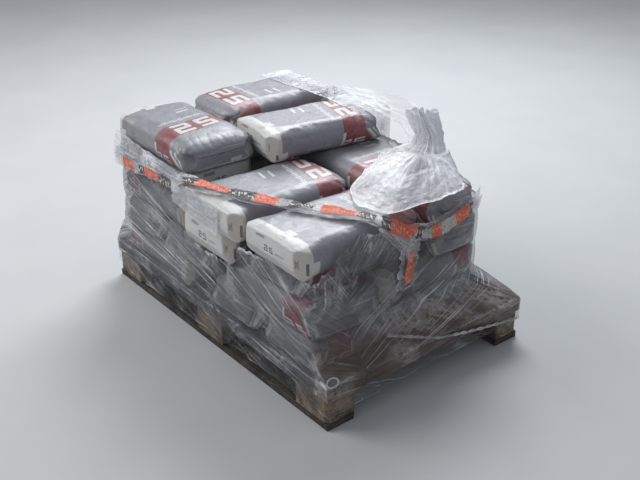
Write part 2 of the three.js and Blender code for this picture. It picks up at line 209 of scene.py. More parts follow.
@dataclass
class GridMesh:
    """A surface over a grid of points, rows by columns, that becomes one Blender object."""

    name: str
    points: Array
    wraps: bool = False
    u: Array | None = None
    v: Array | None = None
    closed_ends: bool = False
    row_slots: Array | None = None
    thick: Array | None = None
    pull: tuple[Array, Array] | None = None

    def faces(self) -> tuple[Array, Array, Array]:
        """Quads of the grid as corner indices, with each corner's row and column.

        Returns:
            Corner indices, corner rows and corner columns, each faces by 4. A column past the last
            stands for the first again, so that a map can run on across the seam.
        """
        rows, cols = self.points.shape[:2]
        spans = cols if self.wraps else cols - 1
        i, j = np.meshgrid(np.arange(rows - 1), np.arange(spans), indexing="ij")
        row = joined(i, i, i + 1, i + 1).reshape(-1, 4)
        col = joined(j, j + 1, j + 1, j).reshape(-1, 4)
        return row * cols + col % cols, row, col

    def closing(self) -> Array:
        """Quads that close the first and last row, where each row is a ring folded flat.

        Returns:
            Corner indices, faces by 4, joining each column to the one across the fold.
        """
        rows, cols = self.points.shape[:2]
        half = cols // 2
        k = np.arange(half - 1)
        across = joined(k, k + 1, cols - 2 - k, cols - 1 - k)
        return np.concatenate([across[:, ::-1], across + (rows - 1) * cols])

    def build(self, materials: list[Material]) -> Piece:
        """Makes the object, with its map, materials and smooth shading.

        Args:
            materials: One material for each slot number in row_slots, or one alone.

        Returns:
            The object, at the origin.
        """
        rows, cols = self.points.shape[:2]
        quads, row, col = self.faces()
        ends = self.closing() if self.closed_ends else np.zeros((0, 4), int)
        corners = np.concatenate([quads, ends]).astype(np.int32)
        mesh = bpy.data.meshes.new(self.name)
        mesh.vertices.add(rows * cols)
        mesh.vertices.foreach_set("co", self.points.reshape(-1).astype(np.float32))
        mesh.loops.add(corners.size)
        mesh.loops.foreach_set("vertex_index", corners.reshape(-1))
        mesh.polygons.add(len(corners))
        mesh.polygons.foreach_set("loop_start", np.arange(0, corners.size, 4, dtype=np.int32))
        mesh.polygons.foreach_set("use_smooth", np.ones(len(corners), bool))
        for material in materials:
            mesh.materials.append(material)
        if self.row_slots is not None:
            slots = np.concatenate([self.row_slots[row[:, 0]], np.zeros(len(ends), int)])
            if len(ends):
                slots[len(quads) : len(quads) + len(ends) // 2] = self.row_slots[0]
                slots[len(quads) + len(ends) // 2 :] = self.row_slots[rows - 2]
            mesh.polygons.foreach_set("material_index", slots.astype(np.int32))
        for label, maps in (("surface", (self.u, self.v)), ("pull", self.pull)):
            if maps is None or maps[0] is None:
                continue
            layer = mesh.uv_layers.new(name=label)
            first, second = (np.ascontiguousarray(m).reshape(-1) for m in maps)
            wide = maps[0].shape[1]
            sides = row * wide + np.minimum(col, wide - 1)
            flat = np.concatenate([sides, (ends // cols) * wide + ends % cols])
            pairs = joined(first[flat], second[flat])
            layer.data.foreach_set("uv", pairs.reshape(-1).astype(np.float32))
        if self.thick is not None:
            layer = mesh.attributes.new("thick", "FLOAT", "POINT")
            layer.data.foreach_set("value", self.thick.reshape(-1).astype(np.float32))
        mesh.update(calc_edges=True)
        mesh.validate()
        piece = bpy.data.objects.new(self.name, mesh)
        bpy.context.scene.collection.objects.link(piece)
        return piece


def ring_turn(points: Array, degrees: float, centre: tuple[float, float, float]) -> Array:
    """Turns points about the upright axis and moves them to a centre.

    Args:
        points: Places, with x, y, z last.
        degrees: Turn, from +X towards +Y.
        centre: Where the old origin goes.

    Returns:
        The moved points.
    """
    turn = math.radians(degrees)
    c, s = math.cos(turn), math.sin(turn)
    x = points[..., 0] * c - points[..., 1] * s
    y = points[..., 0] * s + points[..., 1] * c
    return joined(x, y, points[..., 2]) + np.array(centre)


# Shader nodes


class Bench:
    """A short way to add and join the nodes of one material or group."""

    def __init__(self, tree: bpy.types.NodeTree) -> None:
        """Keeps the tree that the nodes go into."""
        self.tree = tree

    def add(self, kind: str, **settings: Any) -> Node:
        """Adds a node.

        Args:
            kind: Blender's name of its type.
            settings: Its properties by name.

        Returns:
            The node.
        """
        node = self.tree.nodes.new(kind)
        for key, value in settings.items():
            setattr(node, key, value)
        return node

    def feed(self, socket: Socket, value: Any) -> None:
        """Links a socket to an input, or sets the input to a plain value.

        Args:
            socket: The input.
            value: A socket or a plain value.
        """
        if isinstance(value, Socket):
            self.tree.links.new(value, socket)
        else:
            socket.default_value = value

    def give(self, node: Node, **inputs: Any) -> Node:
        """Feeds a node's inputs by name.

        Args:
            node: The node.
            inputs: Their values or sockets, with _ for each space in a name.

        Returns:
            The node.
        """
        for key, value in inputs.items():
            self.feed(node.inputs[key.replace("_", " ")], value)
        return node

    def fill(self, node: Node, *values: Any) -> Node:
        """Feeds a node's first inputs in their order.

        Args:
            node: The node.
            values: Their values or sockets.

        Returns:
            The node.
        """
        for socket, value in zip(node.inputs, values):
            self.feed(socket, value)
        return node

    def math(self, operation: str, first: Any, second: Any = 0.0, clamp: bool = False) -> Socket:
        """One step of arithmetic, its result kept from 0 to 1 where clamp is set."""
        node = self.add("ShaderNodeMath", operation=operation, use_clamp=clamp)
        return self.fill(node, first, second).outputs[0]

    def times(self, first: Any, second: Any) -> Socket:
        """One number times another."""
        return self.math("MULTIPLY", first, second)

    def plus(self, first: Any, second: Any, clamp: bool = False) -> Socket:
        """The sum of two numbers, kept from 0 to 1 where clamp is set."""
        return self.math("ADD", first, second, clamp)

    def minus(self, first: Any, second: Any) -> Socket:
        """One number less another."""
        return self.math("SUBTRACT", first, second)

    def larger(self, first: Any, second: Any, clamp: bool = False) -> Socket:
        """The larger of two numbers, kept from 0 to 1 where clamp is set."""
        return self.math("MAXIMUM", first, second, clamp)

    def apart(self, first: Any, second: Any) -> Socket:
        """How far two numbers are apart."""
        return self.math("ABSOLUTE", self.minus(first, second))

    def between(self, value: Any, low: float, high: float, soft: float) -> Socket:
        """1 from low to high and 0 outside, with edges as soft as told."""
        return self.times(
            self.span(value, low - soft, low + soft), self.span(value, high - soft, high + soft, 1.0, 0.0)
        )

    def vector(self, operation: str, first: Any, second: Any = (0.0, 0.0, 0.0)) -> Node:
        """One step of vector arithmetic, as its node."""
        return self.fill(self.add("ShaderNodeVectorMath", operation=operation), first, second)

    def blend(self, factor: Any, low: Any, high: Any) -> Socket:
        """Mixes two colours.

        Args:
            factor: Share of the second colour.
            low: Colour at 0.
            high: Colour at 1.

        Returns:
            The mixed colour.
        """
        node = self.add("ShaderNodeMix", data_type="RGBA")
        for number, value in ((0, factor), (6, low), (7, high)):
            self.feed(node.inputs[number], value)
        return node.outputs[2]

    def span(self, value: Any, low: Any, high: Any, out_low: Any = 0.0, out_high: Any = 1.0) -> Socket:
        """Maps low..high to out_low..out_high by a smooth step, and holds the ends."""
        node = self.add("ShaderNodeMapRange", interpolation_type="SMOOTHSTEP", clamp=True)
        return self.fill(node, value, low, high, out_low, out_high).outputs[0]

    def noise(self, place: Any, scale: float, detail: float = 3.0, rough: float = 0.55) -> Socket:
        """Fractal noise about 0.5 at a place."""
        node = self.add("ShaderNodeTexNoise")
        return self.give(node, Vector=place, Scale=scale, Detail=detail, Roughness=rough).outputs[0]

    def map(self, name: str) -> Socket:
        """One of the mesh's maps."""
        return self.add("ShaderNodeUVMap", uv_map=name).outputs[0]

    def place(self) -> Socket:
        """The place in the object's own axes."""
        return self.add("ShaderNodeTexCoord").outputs["Object"]

    def grown(self, place: Any, scale: Any) -> Socket:
        """A place scaled about its origin."""
        return self.give(self.vector("SCALE", place), Scale=scale).outputs[0]

    def attribute(self, name: str) -> Socket:
        """A number that the mesh carries at each of its points."""
        return self.add("ShaderNodeAttribute", attribute_name=name).outputs["Fac"]

    def group(self, name: str, **inputs: Any) -> Node:
        """Places a node group, with its inputs given by name."""
        return self.give(self.add("ShaderNodeGroup", node_tree=bpy.data.node_groups[name]), **inputs)

    def parts(self, place: Any) -> tuple[Socket, Socket, Socket]:
        """The x, y and z of a vector."""
        return tuple(self.fill(self.add("ShaderNodeSeparateXYZ"), place).outputs)

    def join(self, x: Any, y: Any, z: Any = 0.0) -> Socket:
        """A vector from x, y and z."""
        return self.fill(self.add("ShaderNodeCombineXYZ"), x, y, z).outputs[0]

    def bump(self, height: Any, distance: float, strength: float, normal: Any = None) -> Socket:
        """A normal from a height map.

        Args:
            height: The height map.
            distance: Height of its 1, in metres.
            strength: Share of it that shows.
            normal: A normal that it lies on, if any.

        Returns:
            The normal.
        """
        node = self.give(self.add("ShaderNodeBump"), Distance=distance, Strength=strength, Height=height)
        if normal is not None:
            self.feed(node.inputs["Normal"], normal)
        return node.outputs[0]


class Effects:
    """The node groups that several materials use, each built once."""

    PATCH = "rounded_patch"
    TICKS = "tick_row"
    NUMERAL = "numeral_25"
    CRUMPLE = "crumple"
    GRIME = "grime"
    GRAIN = "sawn_grain"
    LINES = "pulled_lines"
    # Strokes of the figures 2 and 5 as shares of their height: centre x, centre y, half x, half y.
    STROKES = (
        (-0.62, 0.40, 0.44, 0.11), (-0.29, 0.20, 0.12, 0.28), (-0.62, 0.00, 0.44, 0.11),
        (-0.95, -0.20, 0.12, 0.28), (-0.62, -0.40, 0.46, 0.11), (0.62, 0.40, 0.44, 0.11),
        (0.29, 0.20, 0.12, 0.28), (0.62, 0.00, 0.44, 0.11), (0.95, -0.20, 0.12, 0.28),
        (0.62, -0.40, 0.46, 0.11),
    )

    @staticmethod
    def start(name: str, inputs: dict[str, float | None], *outputs: str) -> tuple[Bench, Any, Any]:
        """Makes an empty group.

        Args:
            name: The group's name.
            inputs: Input names with their defaults, None for a vector.
            outputs: Names of its outputs, all numbers.

        Returns:
            The bench, the sockets of its inputs and the node of its outputs.
        """
        tree = bpy.data.node_groups.new(name, "ShaderNodeTree")
        for key, value in inputs.items():
            kind = "NodeSocketVector" if value is None else "NodeSocketFloat"
            socket = tree.interface.new_socket(key, in_out="INPUT", socket_type=kind)
            if value is not None:
                socket.default_value = value
        for key in outputs:
            tree.interface.new_socket(key, in_out="OUTPUT", socket_type="NodeSocketFloat")
        bench = Bench(tree)
        return bench, bench.add("NodeGroupInput").outputs, bench.add("NodeGroupOutput")

    @classmethod
    def build_all(cls) -> None:
        """Builds every group, in the order that they use one another."""
        for build in (cls.patch, cls.ticks, cls.numeral, cls.crumple, cls.grime, cls.grain, cls.lines):
            build()

    @classmethod
    def patch(cls) -> None:
        """A rectangle with round corners: 1 inside, 0 outside, by distance from its inner core."""
        defaults = {"Place": None, "X": 0.0, "Y": 0.0, "Half X": 0.1, "Half Y": 0.1, "Round": 0.002}
        b, get, out = cls.start(cls.PATCH, {**defaults, "Soft": 0.0006}, "Mask")
        away = b.vector("SUBTRACT", get["Place"], b.join(get["X"], get["Y"]))
        size = b.vector("ABSOLUTE", away.outputs[0])
        core = b.join(b.minus(get["Half X"], get["Round"]), b.minus(get["Half Y"], get["Round"]))
        beyond = b.vector("SUBTRACT", size.outputs[0], core)
        outside = b.vector("MAXIMUM", beyond.outputs[0])
        x, y, _ = b.parts(outside.outputs[0])
        length = b.vector("LENGTH", b.join(x, y)).outputs["Value"]
        past = b.minus(length, get["Round"])
        low = b.times(get["Soft"], -1.0)
        b.give(out, Mask=b.span(past, low, get["Soft"], 1.0, 0.0))

    @classmethod
    def ticks(cls) -> None:
        """A row of upright ticks of three heights, like a scale, along Y of the place."""
        defaults = {"Place": None, "X": 0.0, "Y": 0.0, "Half X": 0.008, "Half Y": 0.05, "Pitch": 0.008}
        b, get, out = cls.start(cls.TICKS, defaults, "Mask")
        x, y, _ = b.parts(get["Place"])
        count = b.math("DIVIDE", y, get["Pitch"])
        along = b.math("FRACT", count)
        bar = b.between(along, 0.12, 0.66, 0.04)
        third = b.math("FRACT", b.math("DIVIDE", b.plus(b.math("FLOOR", count), 0.5), 3.0))
        far = b.times(get["Half X"], b.span(third, 0.3, 0.7, 1.0, 0.55))
        height = b.span(b.minus(b.apart(x, get["X"]), far), -0.0004, 0.0004, 1.0, 0.0)
        ends = b.math("LESS_THAN", b.apart(y, get["Y"]), get["Half Y"])
        b.give(out, Mask=b.times(b.times(bar, height), ends))

    @classmethod
    def numeral(cls) -> None:
        """The plain figures 25, from their strokes, in a place scaled by their height."""
        defaults = {"Across": 0.0, "Up": 0.0, "Height": 0.07}
        b, get, out = cls.start(cls.NUMERAL, defaults, "Mask")
        place = b.join(*(b.math("DIVIDE", get[way], get["Height"]) for way in ("Across", "Up")))
        mask: Any = 0.0
        for x, y, half_x, half_y in cls.STROKES:
            shape = {"X": x, "Y": y, "Half_X": half_x, "Half_Y": half_y}
            stroke = b.group(cls.PATCH, Place=place, Round=0.1, Soft=0.012, **shape)
            mask = b.larger(mask, stroke.outputs[0])
        b.give(out, Mask=mask)

    @classmethod
    def crumple(cls) -> None:
        """Creased paper or film: sharp crests where two scales of noise pass through their middle."""
        b, get, out = cls.start(cls.CRUMPLE, {"Place": None, "Scale": 40.0}, "Height", "Crest")
        grown = b.grown(get["Place"], get["Scale"])
        broad = b.noise(grown, 1.0, 2.0)
        fine = b.noise(grown, 2.7, 2.0)
        crests = [b.span(b.apart(wave, 0.5), 0.0, 0.12, 1.0, 0.0) for wave in (broad, fine)]
        height = b.plus(b.times(crests[0], 0.65), b.times(crests[1], 0.35))
        b.give(out, Height=height, Crest=b.larger(crests[0], b.times(crests[1], 0.7)))

    @classmethod
    def grime(cls) -> None:
        """Patchy dirt: noise at two scales, cut off below a level and gathered low down."""
        defaults = {"Place": None, "Scale": 9.0, "Level": 0.52, "Low": 0.0, "High": 0.2}
        b, get, out = cls.start(cls.GRIME, defaults, "Mask")
        grown = b.grown(get["Place"], get["Scale"])
        cloud = b.noise(grown, 1.0, 5.0, 0.62)
        speck = b.noise(grown, 7.0, 3.0, 0.7)
        both = b.plus(b.times(cloud, 0.75), b.times(speck, 0.25))
        patch = b.span(both, get["Level"], b.plus(get["Level"], 0.12))
        low = b.span(b.parts(get["Place"])[2], get["Low"], get["High"], 1.0, 0.35)
        b.give(out, Mask=b.times(patch, low))

    @classmethod
    def grain(cls) -> None:
        """Sawn softwood: long rings stretched along the board's map, with saw marks and cracks."""
        defaults = {"Place": None, "Stretch": 14.0, "Seed": 0.0}
        b, get, out = cls.start(cls.GRAIN, defaults, "Rings", "Crack", "Saw")
        x, y, z = b.parts(get["Place"])
        along = b.math("DIVIDE", x, get["Stretch"])
        seeded = b.join(b.plus(along, get["Seed"]), y, b.plus(z, get["Seed"]))
        wave = b.noise(seeded, 95.0, 4.0, 0.6)
        rings = b.apart(b.math("FRACT", b.times(wave, 9.0)), 0.5)
        split = b.apart(b.noise(seeded, 210.0, 2.0), 0.5)
        saw = b.noise(b.join(b.times(x, 300.0), b.times(y, 18.0)), 1.0, 2.0)
        crack = b.span(split, 0.004, 0.022, 1.0, 0.0)
        b.give(out, Rings=b.times(rings, 2.0), Crack=crack, Saw=saw)

    @classmethod
    def lines(cls) -> None:
        """Pulled film: thin bright lines at two spacings along the pull map's second number."""
        b, get, out = cls.start(cls.LINES, {"Place": None}, "Lines", "Height")
        across, along, _ = b.parts(get["Place"])
        masks, waves = [], []
        for fine, run, half in ((1.0, 0.5, 0.02), (2.6, 0.9, 0.026)):
            place = b.join(b.times(across, fine), b.times(along, run), 4.0 * fine)
            wave = b.noise(place, 1.0, 2.0, 0.5)
            line = b.span(b.apart(wave, 0.5), 0.0, half, 1.0, 0.0)
            broken = b.noise(b.join(b.times(across, 0.4), b.times(along, 1.3), fine), 1.0, 2.0)
            masks.append(b.times(line, b.span(broken, 0.38, 0.56)))
            waves.append(wave)
        lines = b.larger(masks[0], b.times(masks[1], 0.6))
        b.give(out, Lines=lines, Height=b.plus(waves[0], b.times(waves[1], 0.4)))


def new_material(name: str) -> tuple[Material, Bench, Node]:
    """Makes a material with a Principled shader.

    Args:
        name: The material's name.

    Returns:
        The material, its bench and its shader node.
    """
    material = bpy.data.materials.new(name)
    material.use_nodes = True
    return material, Bench(material.node_tree), material.node_tree.nodes["Principled BSDF"]


@dataclass(frozen=True)
class SackPaper:
    """Satin coated paper of a sack: grey with a dark red band, white at the folded end."""

    grey: Colour = shade(122, 122, 129)
    band: Colour = shade(118, 40, 50)
    white: Colour = shade(196, 196, 194)
    ink: Colour = shade(46, 46, 50)
    beige: Colour = shade(196, 188, 176)
    roughness: float = 0.36
    wrap: float = 0.045
    band_start: float = 0.318
    band_end: float = 0.408
    bars: tuple[float, float] = (0.193, 0.224)
    row: float = 0.288
    half_width: float = 0.139
    printed_edge: float = 0.0006
    cut_edge: float = 0.001
    figure: float = 0.076
    side_figure: float = 0.03
    side_figure_way: float = 0.192
    end_figure: float = 0.019
    # Faint lines of ticks on the sides: way round, way along, half sizes and pitch.
    side_lines: Table = ((0.183, 0.228, 0.0055, 0.046, 0.0052), (0.199, 0.198, 0.0045, 0.016, 0.0052))

    def marks(self, b: Bench, place: Socket, kind: str, spots: Table | list) -> Any:
        """Joins several patches or tick rows into one mask.

        Args:
            b: Bench of the material.
            place: Map of the sack.
            kind: Group that draws one spot.
            spots: For each, its X, Y, Half X, Half Y and last number, a corner radius or a pitch.

        Returns:
            The mask.
        """
        last = "Pitch" if kind == Effects.TICKS else "Round"
        mask: Any = 0.0
        for x, y, half_x, half_y, final in spots:
            shape = {"X": x, "Y": y, "Half_X": half_x, "Half_Y": half_y, last: final}
            mask = b.larger(mask, b.group(kind, Place=place, **shape).outputs[0])
        return mask

    def surface(self, b: Bench, shader: Node, colour: Any) -> None:
        """Adds handling marks, creases with a painted highlight on their crests, and gloss to a print and
        feeds the shader.

        Args:
            b: Bench of the material.
            shader: The Principled node.
            colour: Printed colour.
        """
        place = b.place()
        cloud = b.noise(place, 5.0, 4.0)
        worn = b.blend(b.span(cloud, 0.35, 0.7, 0.0, 0.16), colour, shade(170, 168, 166))
        dirt = b.group(Effects.GRIME, Place=place, Scale=11.0, Level=0.55, Low=0.1, High=0.9).outputs[0]
        dusty = b.blend(b.times(dirt, 0.22), worn, shade(150, 142, 132))
        crumple = b.group(Effects.CRUMPLE, Place=place, Scale=21.0)
        # The crests of the creases are painted a little lighter: a painted highlight.
        crest_highlit = b.blend(b.times(crumple.outputs["Crest"], 0.05), dusty, shade(235, 235, 238))
        gloss = b.span(b.noise(place, 26.0, 3.0), 0.3, 0.7, self.roughness - 0.05, self.roughness + 0.12)
        soft = b.bump(b.noise(place, 30.0, 4.0, 0.5), 0.004, 0.35)
        creased = b.bump(crumple.outputs["Height"], 0.0012, 0.35, soft)
        fibre = b.bump(b.noise(place, 900.0, 2.0), 0.0002, 0.15, creased)
        b.give(shader, Base_Color=crest_highlit, Roughness=b.plus(gloss, b.times(dirt, 0.15)), Normal=fibre)
        b.give(shader, Specular_IOR_Level=0.55, Coat_Weight=0.12, Coat_Roughness=0.28)

    def body(self) -> Material:
        """The printed skin between the two ends.

        Its map's first number is the way from the white end and its second the way round from the
        middle of the top, plus to the right side, both in metres.

        Returns:
            The material.
        """
        material, b, shader = new_material("sack_print")
        place = b.map("surface")
        s, g, _ = b.parts(place)
        start = b.plus(s, b.times(b.minus(b.noise(place, 12.0, 2.0), 0.5), 0.004))
        band = b.between(s, self.band_start, self.band_end, self.printed_edge)
        middle = (self.band_start + self.band_end) / 2
        figures = b.group(Effects.NUMERAL, Across=g, Up=b.minus(middle, s), Height=self.figure)
        round_it = b.math("ABSOLUTE", g)
        flipped = b.times(b.minus(s, middle), b.math("SIGN", g))
        side_up = b.minus(self.side_figure_way, round_it)
        side = b.group(Effects.NUMERAL, Across=flipped, Up=side_up, Height=self.side_figure)
        patches = [(at, y, 0.0045, 0.024, 0.001) for at, y in zip(self.bars, (-0.046, -0.040))]
        for way in (-1.0, 1.0):
            for at in (self.band_start + 0.005, self.band_end + 0.012, self.band_end + 0.036):
                patches.append((at, 0.18 * way, 0.0055, 0.03, 0.001))
        ticks = self.marks(b, place, Effects.TICKS, [(self.row, 0.01, 0.010, 0.088, 0.0105)])
        rows = b.larger(self.marks(b, place, Effects.PATCH, patches), ticks)
        lines = self.marks(b, b.join(round_it, s), Effects.TICKS, self.side_lines)
        printed = b.larger(rows, b.larger(figures.outputs[0], side.outputs[0]))
        body = b.blend(band, self.grey, self.band)
        inked = b.blend(b.times(lines, 0.55), body, self.white)
        inked = b.blend(b.times(printed, 0.94), inked, self.white)
        wrap = b.span(start, self.wrap - self.cut_edge, self.wrap + self.cut_edge, 1.0, 0.0)
        steps = [
            (0.05, 0.030, 0.016, 0.018, 0.001), (0.042, 0.085, 0.010, 0.022, 0.001),
            (0.050, 0.182, 0.018, 0.016, 0.001), (0.046, -0.176, 0.012, 0.018, 0.001),
        ]
        wrap = b.larger(wrap, self.marks(b, place, Effects.PATCH, steps))
        labels = [(0.036, 0.030, 0.024, 0.015, 0.002), (0.018, -0.062, 0.009, 0.013, 0.001)]
        label = self.marks(b, place, Effects.PATCH, labels)
        fine = self.marks(b, b.join(g, s), Effects.TICKS, [(0.05, 0.024, 0.02, 0.017, 0.0042)])
        shown = b.times(b.times(fine, label), 0.3)
        paper = b.blend(b.times(label, 0.1), self.white, self.grey)
        paper = b.blend(shown, paper, self.ink)
        cheek = b.times(b.span(round_it, 0.128, 0.131), b.span(s, 0.040, 0.043, 1.0, 0.0))
        paper = b.blend(b.times(cheek, 0.8), paper, self.beige)
        bar = self.marks(b, place, Effects.PATCH, [(0.024, 0.176, 0.006, 0.011, 0.001)])
        paper = b.blend(b.times(bar, 0.85), paper, self.ink)
        self.surface(b, shader, b.blend(wrap, inked, paper))
        return material

    def white_end(self) -> Material:
        """The folded white end, with painted shade along its low fold, its map metres to the right and
        metres up from the underside.

        Returns:
            The material.
        """
        material, b, shader = new_material("sack_white_end")
        place = b.map("surface")
        w, z, _ = b.parts(place)
        fold = b.apart(z, b.plus(0.034, b.times(w, 0.06)))
        crease = b.span(fold, 0.0005, 0.0022, 1.0, 0.0)
        strip = b.span(z, 0.012, 0.014, 1.0, 0.0)
        facet = b.span(w, self.half_width - 0.04, self.half_width - 0.037)
        dark = self.marks(b, place, Effects.PATCH, [(-0.045, 0.083, 0.021, 0.0055, 0.001)])
        barcode = self.marks(b, b.join(z, w), Effects.TICKS, [(0.052, 0.118, 0.013, 0.008, 0.0045)])
        across, up = b.minus(w, -0.005), b.minus(z, 0.055)
        figure = b.group(Effects.NUMERAL, Across=across, Up=up, Height=self.end_figure)
        note = self.marks(b, place, Effects.PATCH, [(0.045, 0.052, 0.018, 0.0012, 0.0005)])
        black = b.larger(barcode, b.larger(figure.outputs[0], note))
        paper = b.blend(b.times(facet, 0.85), self.white, self.beige)
        paper = b.blend(b.times(dark, 0.75), paper, shade(110, 108, 110))
        paper = b.blend(b.times(black, 0.85), paper, self.ink)
        # Painted shade: a darker line along the low fold, where the lower part tucks under.
        paper = b.blend(b.times(crease, 0.35), paper, shade(120, 112, 104))
        self.surface(b, shader, b.blend(b.times(strip, 0.3), paper, self.beige))
        return material

    def grey_end(self) -> Material:
        """The gathered grey end, with a pale strip and a step low down.

        Returns:
            The material.
        """
        material, b, shader = new_material("sack_grey_end")
        place = b.map("surface")
        strip = b.span(b.parts(place)[1], 0.0135, 0.0145, 1.0, 0.0)
        step = self.marks(b, place, Effects.PATCH, [(-0.055, 0.019, 0.022, 0.0075, 0.001)])
        self.surface(b, shader, b.blend(b.times(b.larger(strip, step), 0.75), self.grey, self.white))
        return material


@dataclass(frozen=True)
class StretchFilm:
    """Clear stretch film, seen by its haze, its pulled lines, its creases and its thicker parts, with
    painted highlights and a painted shade tint on the right side.
    """

    # tint is the haze colour, shaded a painted shade tint for the right side, bright the colour of painted
    # highlights.
    tint: Colour = shade(196, 199, 206)
    shaded: Colour = shade(150, 140, 134)
    bright: Colour = shade(250, 251, 255)
    haze: float = 0.13
    cloudy: float = 0.12
    line: float = 0.45
    crease: float = 0.3
    thick: float = 0.6
    scale: float = 26.0
    relief: float = 0.003
    roughness: float = 0.2
    most: float = 0.94
    specular: float = 0.8
    # Extra haze of the painted shade tint on the right side.
    shade_veil: float = 0.0
    hole: tuple[float, float, float] | None = None
    hole_radius: float = 0.022
    hole_flat: tuple[float, float, float] = (1.0, 1.0, 1.8)
    cleared: float = 0.0
    strands_right: float = 1.0

    def material(self, name: str) -> Material:
        """Film whose alpha is haze, plus lines, crests, thick parts and more where it is seen edge-on.
        Lines, crests and the hole's rim are painted in as highlights, and the right side takes a painted
        shade tint.

        Args:
            name: The material's name.

        Returns:
            The material.
        """
        material, b, shader = new_material(name)
        place = b.map("surface")
        thick = b.attribute("thick")
        object_place = b.place()
        right, _, height = b.parts(object_place)
        round_corner = b.span(right, 0.52, 0.56)
        lines = b.group(Effects.LINES, Place=b.map("pull"))
        crumple = b.group(Effects.CRUMPLE, Place=place, Scale=self.scale)
        cloud = b.noise(place, 6.5, 4.0, 0.6)
        patch = b.span(cloud, 0.40, 0.66)
        edge = b.give(b.add("ShaderNodeLayerWeight"), Blend=0.2)
        strand = b.times(lines.outputs["Lines"], b.span(cloud, 0.30, 0.62, 0.5, 1.0))
        strand = b.times(strand, b.span(round_corner, 0.0, 1.0, 1.0, self.strands_right))
        crest = b.times(crumple.outputs["Crest"], b.span(cloud, 0.44, 0.62))
        crest = b.times(crest, b.plus(b.times(thick, 1.2), 0.35))
        near_corner = b.times(b.span(right, 0.28, 0.42), b.span(height, 0.22, 0.28))
        hazy = self.haze * (1.0 - self.cleared)
        alpha: Any = b.span(b.minus(near_corner, round_corner), 0.0, 1.0, self.haze, hazy)
        shares = (self.cloudy, self.line, self.crease, self.thick)
        for mask, share in zip((patch, strand, crest, thick), shares):
            alpha = b.plus(alpha, b.times(mask, share))
        alpha = b.plus(alpha, b.times(edge.outputs["Facing"], 0.16), clamp=True)
        alpha = b.plus(alpha, b.times(round_corner, self.shade_veil))
        rim: Any = 0.0
        if self.hole is not None:
            middle = [c * f for c, f in zip(self.hole, self.hole_flat)]
            pressed = b.vector("MULTIPLY", object_place, self.hole_flat).outputs[0]
            gap = b.vector("DISTANCE", pressed, middle).outputs["Value"]
            rim = b.span(gap, self.hole_radius + 0.003, self.hole_radius + 0.008, 0.75, 0.0)
            open_part = b.span(gap, self.hole_radius, self.hole_radius + 0.0015, 0.25, 1.0)
            alpha = b.times(b.larger(alpha, rim), open_part)
        # Painted highlights: the pulled lines, the crests and the hole's rim drawn towards white.
        painted_highlight = b.larger(b.times(strand, 0.8), b.times(crest, 0.8), clamp=True)
        painted_highlight = b.larger(painted_highlight, rim)
        # Painted shade: the right side takes the darker shaded tint, less where the film is thick.
        turned = b.times(round_corner, b.span(thick, 0.1, 0.6, 1.0, 0.2))
        tint = b.blend(turned, self.tint, self.shaded)
        rough = b.span(patch, 0.0, 1.0, self.roughness, self.roughness + 0.12)
        drawn = b.bump(lines.outputs["Height"], self.relief, 0.55)
        normal = b.bump(crumple.outputs["Height"], self.relief, 0.5, drawn)
        b.give(shader, Base_Color=b.blend(painted_highlight, tint, self.bright), Roughness=rough, Normal=normal)
        b.give(shader, Alpha=b.math("MINIMUM", alpha, self.most), Specular_IOR_Level=self.specular)
        return material


@dataclass(frozen=True)
class TapeFinish:
    """Printed tape: lengths of orange, black and bare film with plain white strokes on them, and painted
    highlights on its crease crests.
    """

    orange: Colour = shade(224, 78, 22)
    black: Colour = shade(16, 16, 19)
    stroke: Colour = shade(238, 238, 238)
    bare: Colour = shade(222, 220, 220)
    clear: float = 0.3
    edge: float = 0.002

    def material(self, name: str, orange: Table, black: Table) -> Material:
        """Tape whose map's first number runs along it in metres and second across it.

        Args:
            name: The material's name.
            orange: Start and end of each orange length.
            black: Start and end of each black length.

        Returns:
            The material.
        """
        material, b, shader = new_material(name)
        place = b.map("surface")
        u, v, _ = b.parts(place)
        along = b.plus(u, b.times(b.minus(b.noise(place, 90.0, 2.0), 0.5), 0.012))
        reds = self.lengths(b, along, orange)
        darks = self.lengths(b, along, black)
        crumple = b.group(Effects.CRUMPLE, Place=place, Scale=75.0)
        strokes = self.strokes(b, u, v)
        colour = b.blend(reds, self.bare, self.orange)
        colour = b.blend(darks, colour, self.black)
        printed = b.larger(reds, darks)
        share = b.times(b.times(strokes, printed), b.span(darks, 0.0, 1.0, 0.32, 0.85))
        colour = b.blend(share, colour, self.stroke)
        crest = crumple.outputs["Crest"]
        # Painted highlights: the crease crests drawn pale, and less clear on the bare film.
        colour = b.blend(b.times(crest, 0.14), colour, shade(250, 226, 214))
        alpha = b.larger(b.plus(self.clear, b.times(crest, 0.35)), b.times(printed, 0.97))
        normal = b.bump(crumple.outputs["Height"], 0.003, 0.7)
        rough = b.span(crest, 0.0, 1.0, 0.24, 0.4)
        b.give(shader, Base_Color=colour, Alpha=alpha, Roughness=rough, Normal=normal)
        return material

    def lengths(self, b: Bench, along: Socket, spans: Table) -> Any:
        """The mask of several lengths of tape.

        Args:
            b: Bench of the material.
            along: Way along the tape.
            spans: Start and end of each length.

        Returns:
            The mask.
        """
        mask: Any = 0.0
        for start, end in spans:
            mask = b.larger(mask, b.between(along, start, end, self.edge))
        return mask

    @staticmethod
    def strokes(b: Bench, u: Socket, v: Socket) -> Socket:
        """Loose slanted strokes along the middle of the tape, like print too creased to read.

        Args:
            b: Bench of the material.
            u: Way along the tape.
            v: Way across it.

        Returns:
            The mask.
        """
        lean = b.plus(u, b.times(v, 0.5))
        place = b.join(b.times(lean, 150.0), b.times(v, 60.0))
        wave = b.noise(place, 1.0, 1.0, 0.5)
        middle = b.span(b.math("ABSOLUTE", v), 0.008, 0.011, 1.0, 0.0)
        return b.times(b.span(wave, 0.54, 0.57), middle)


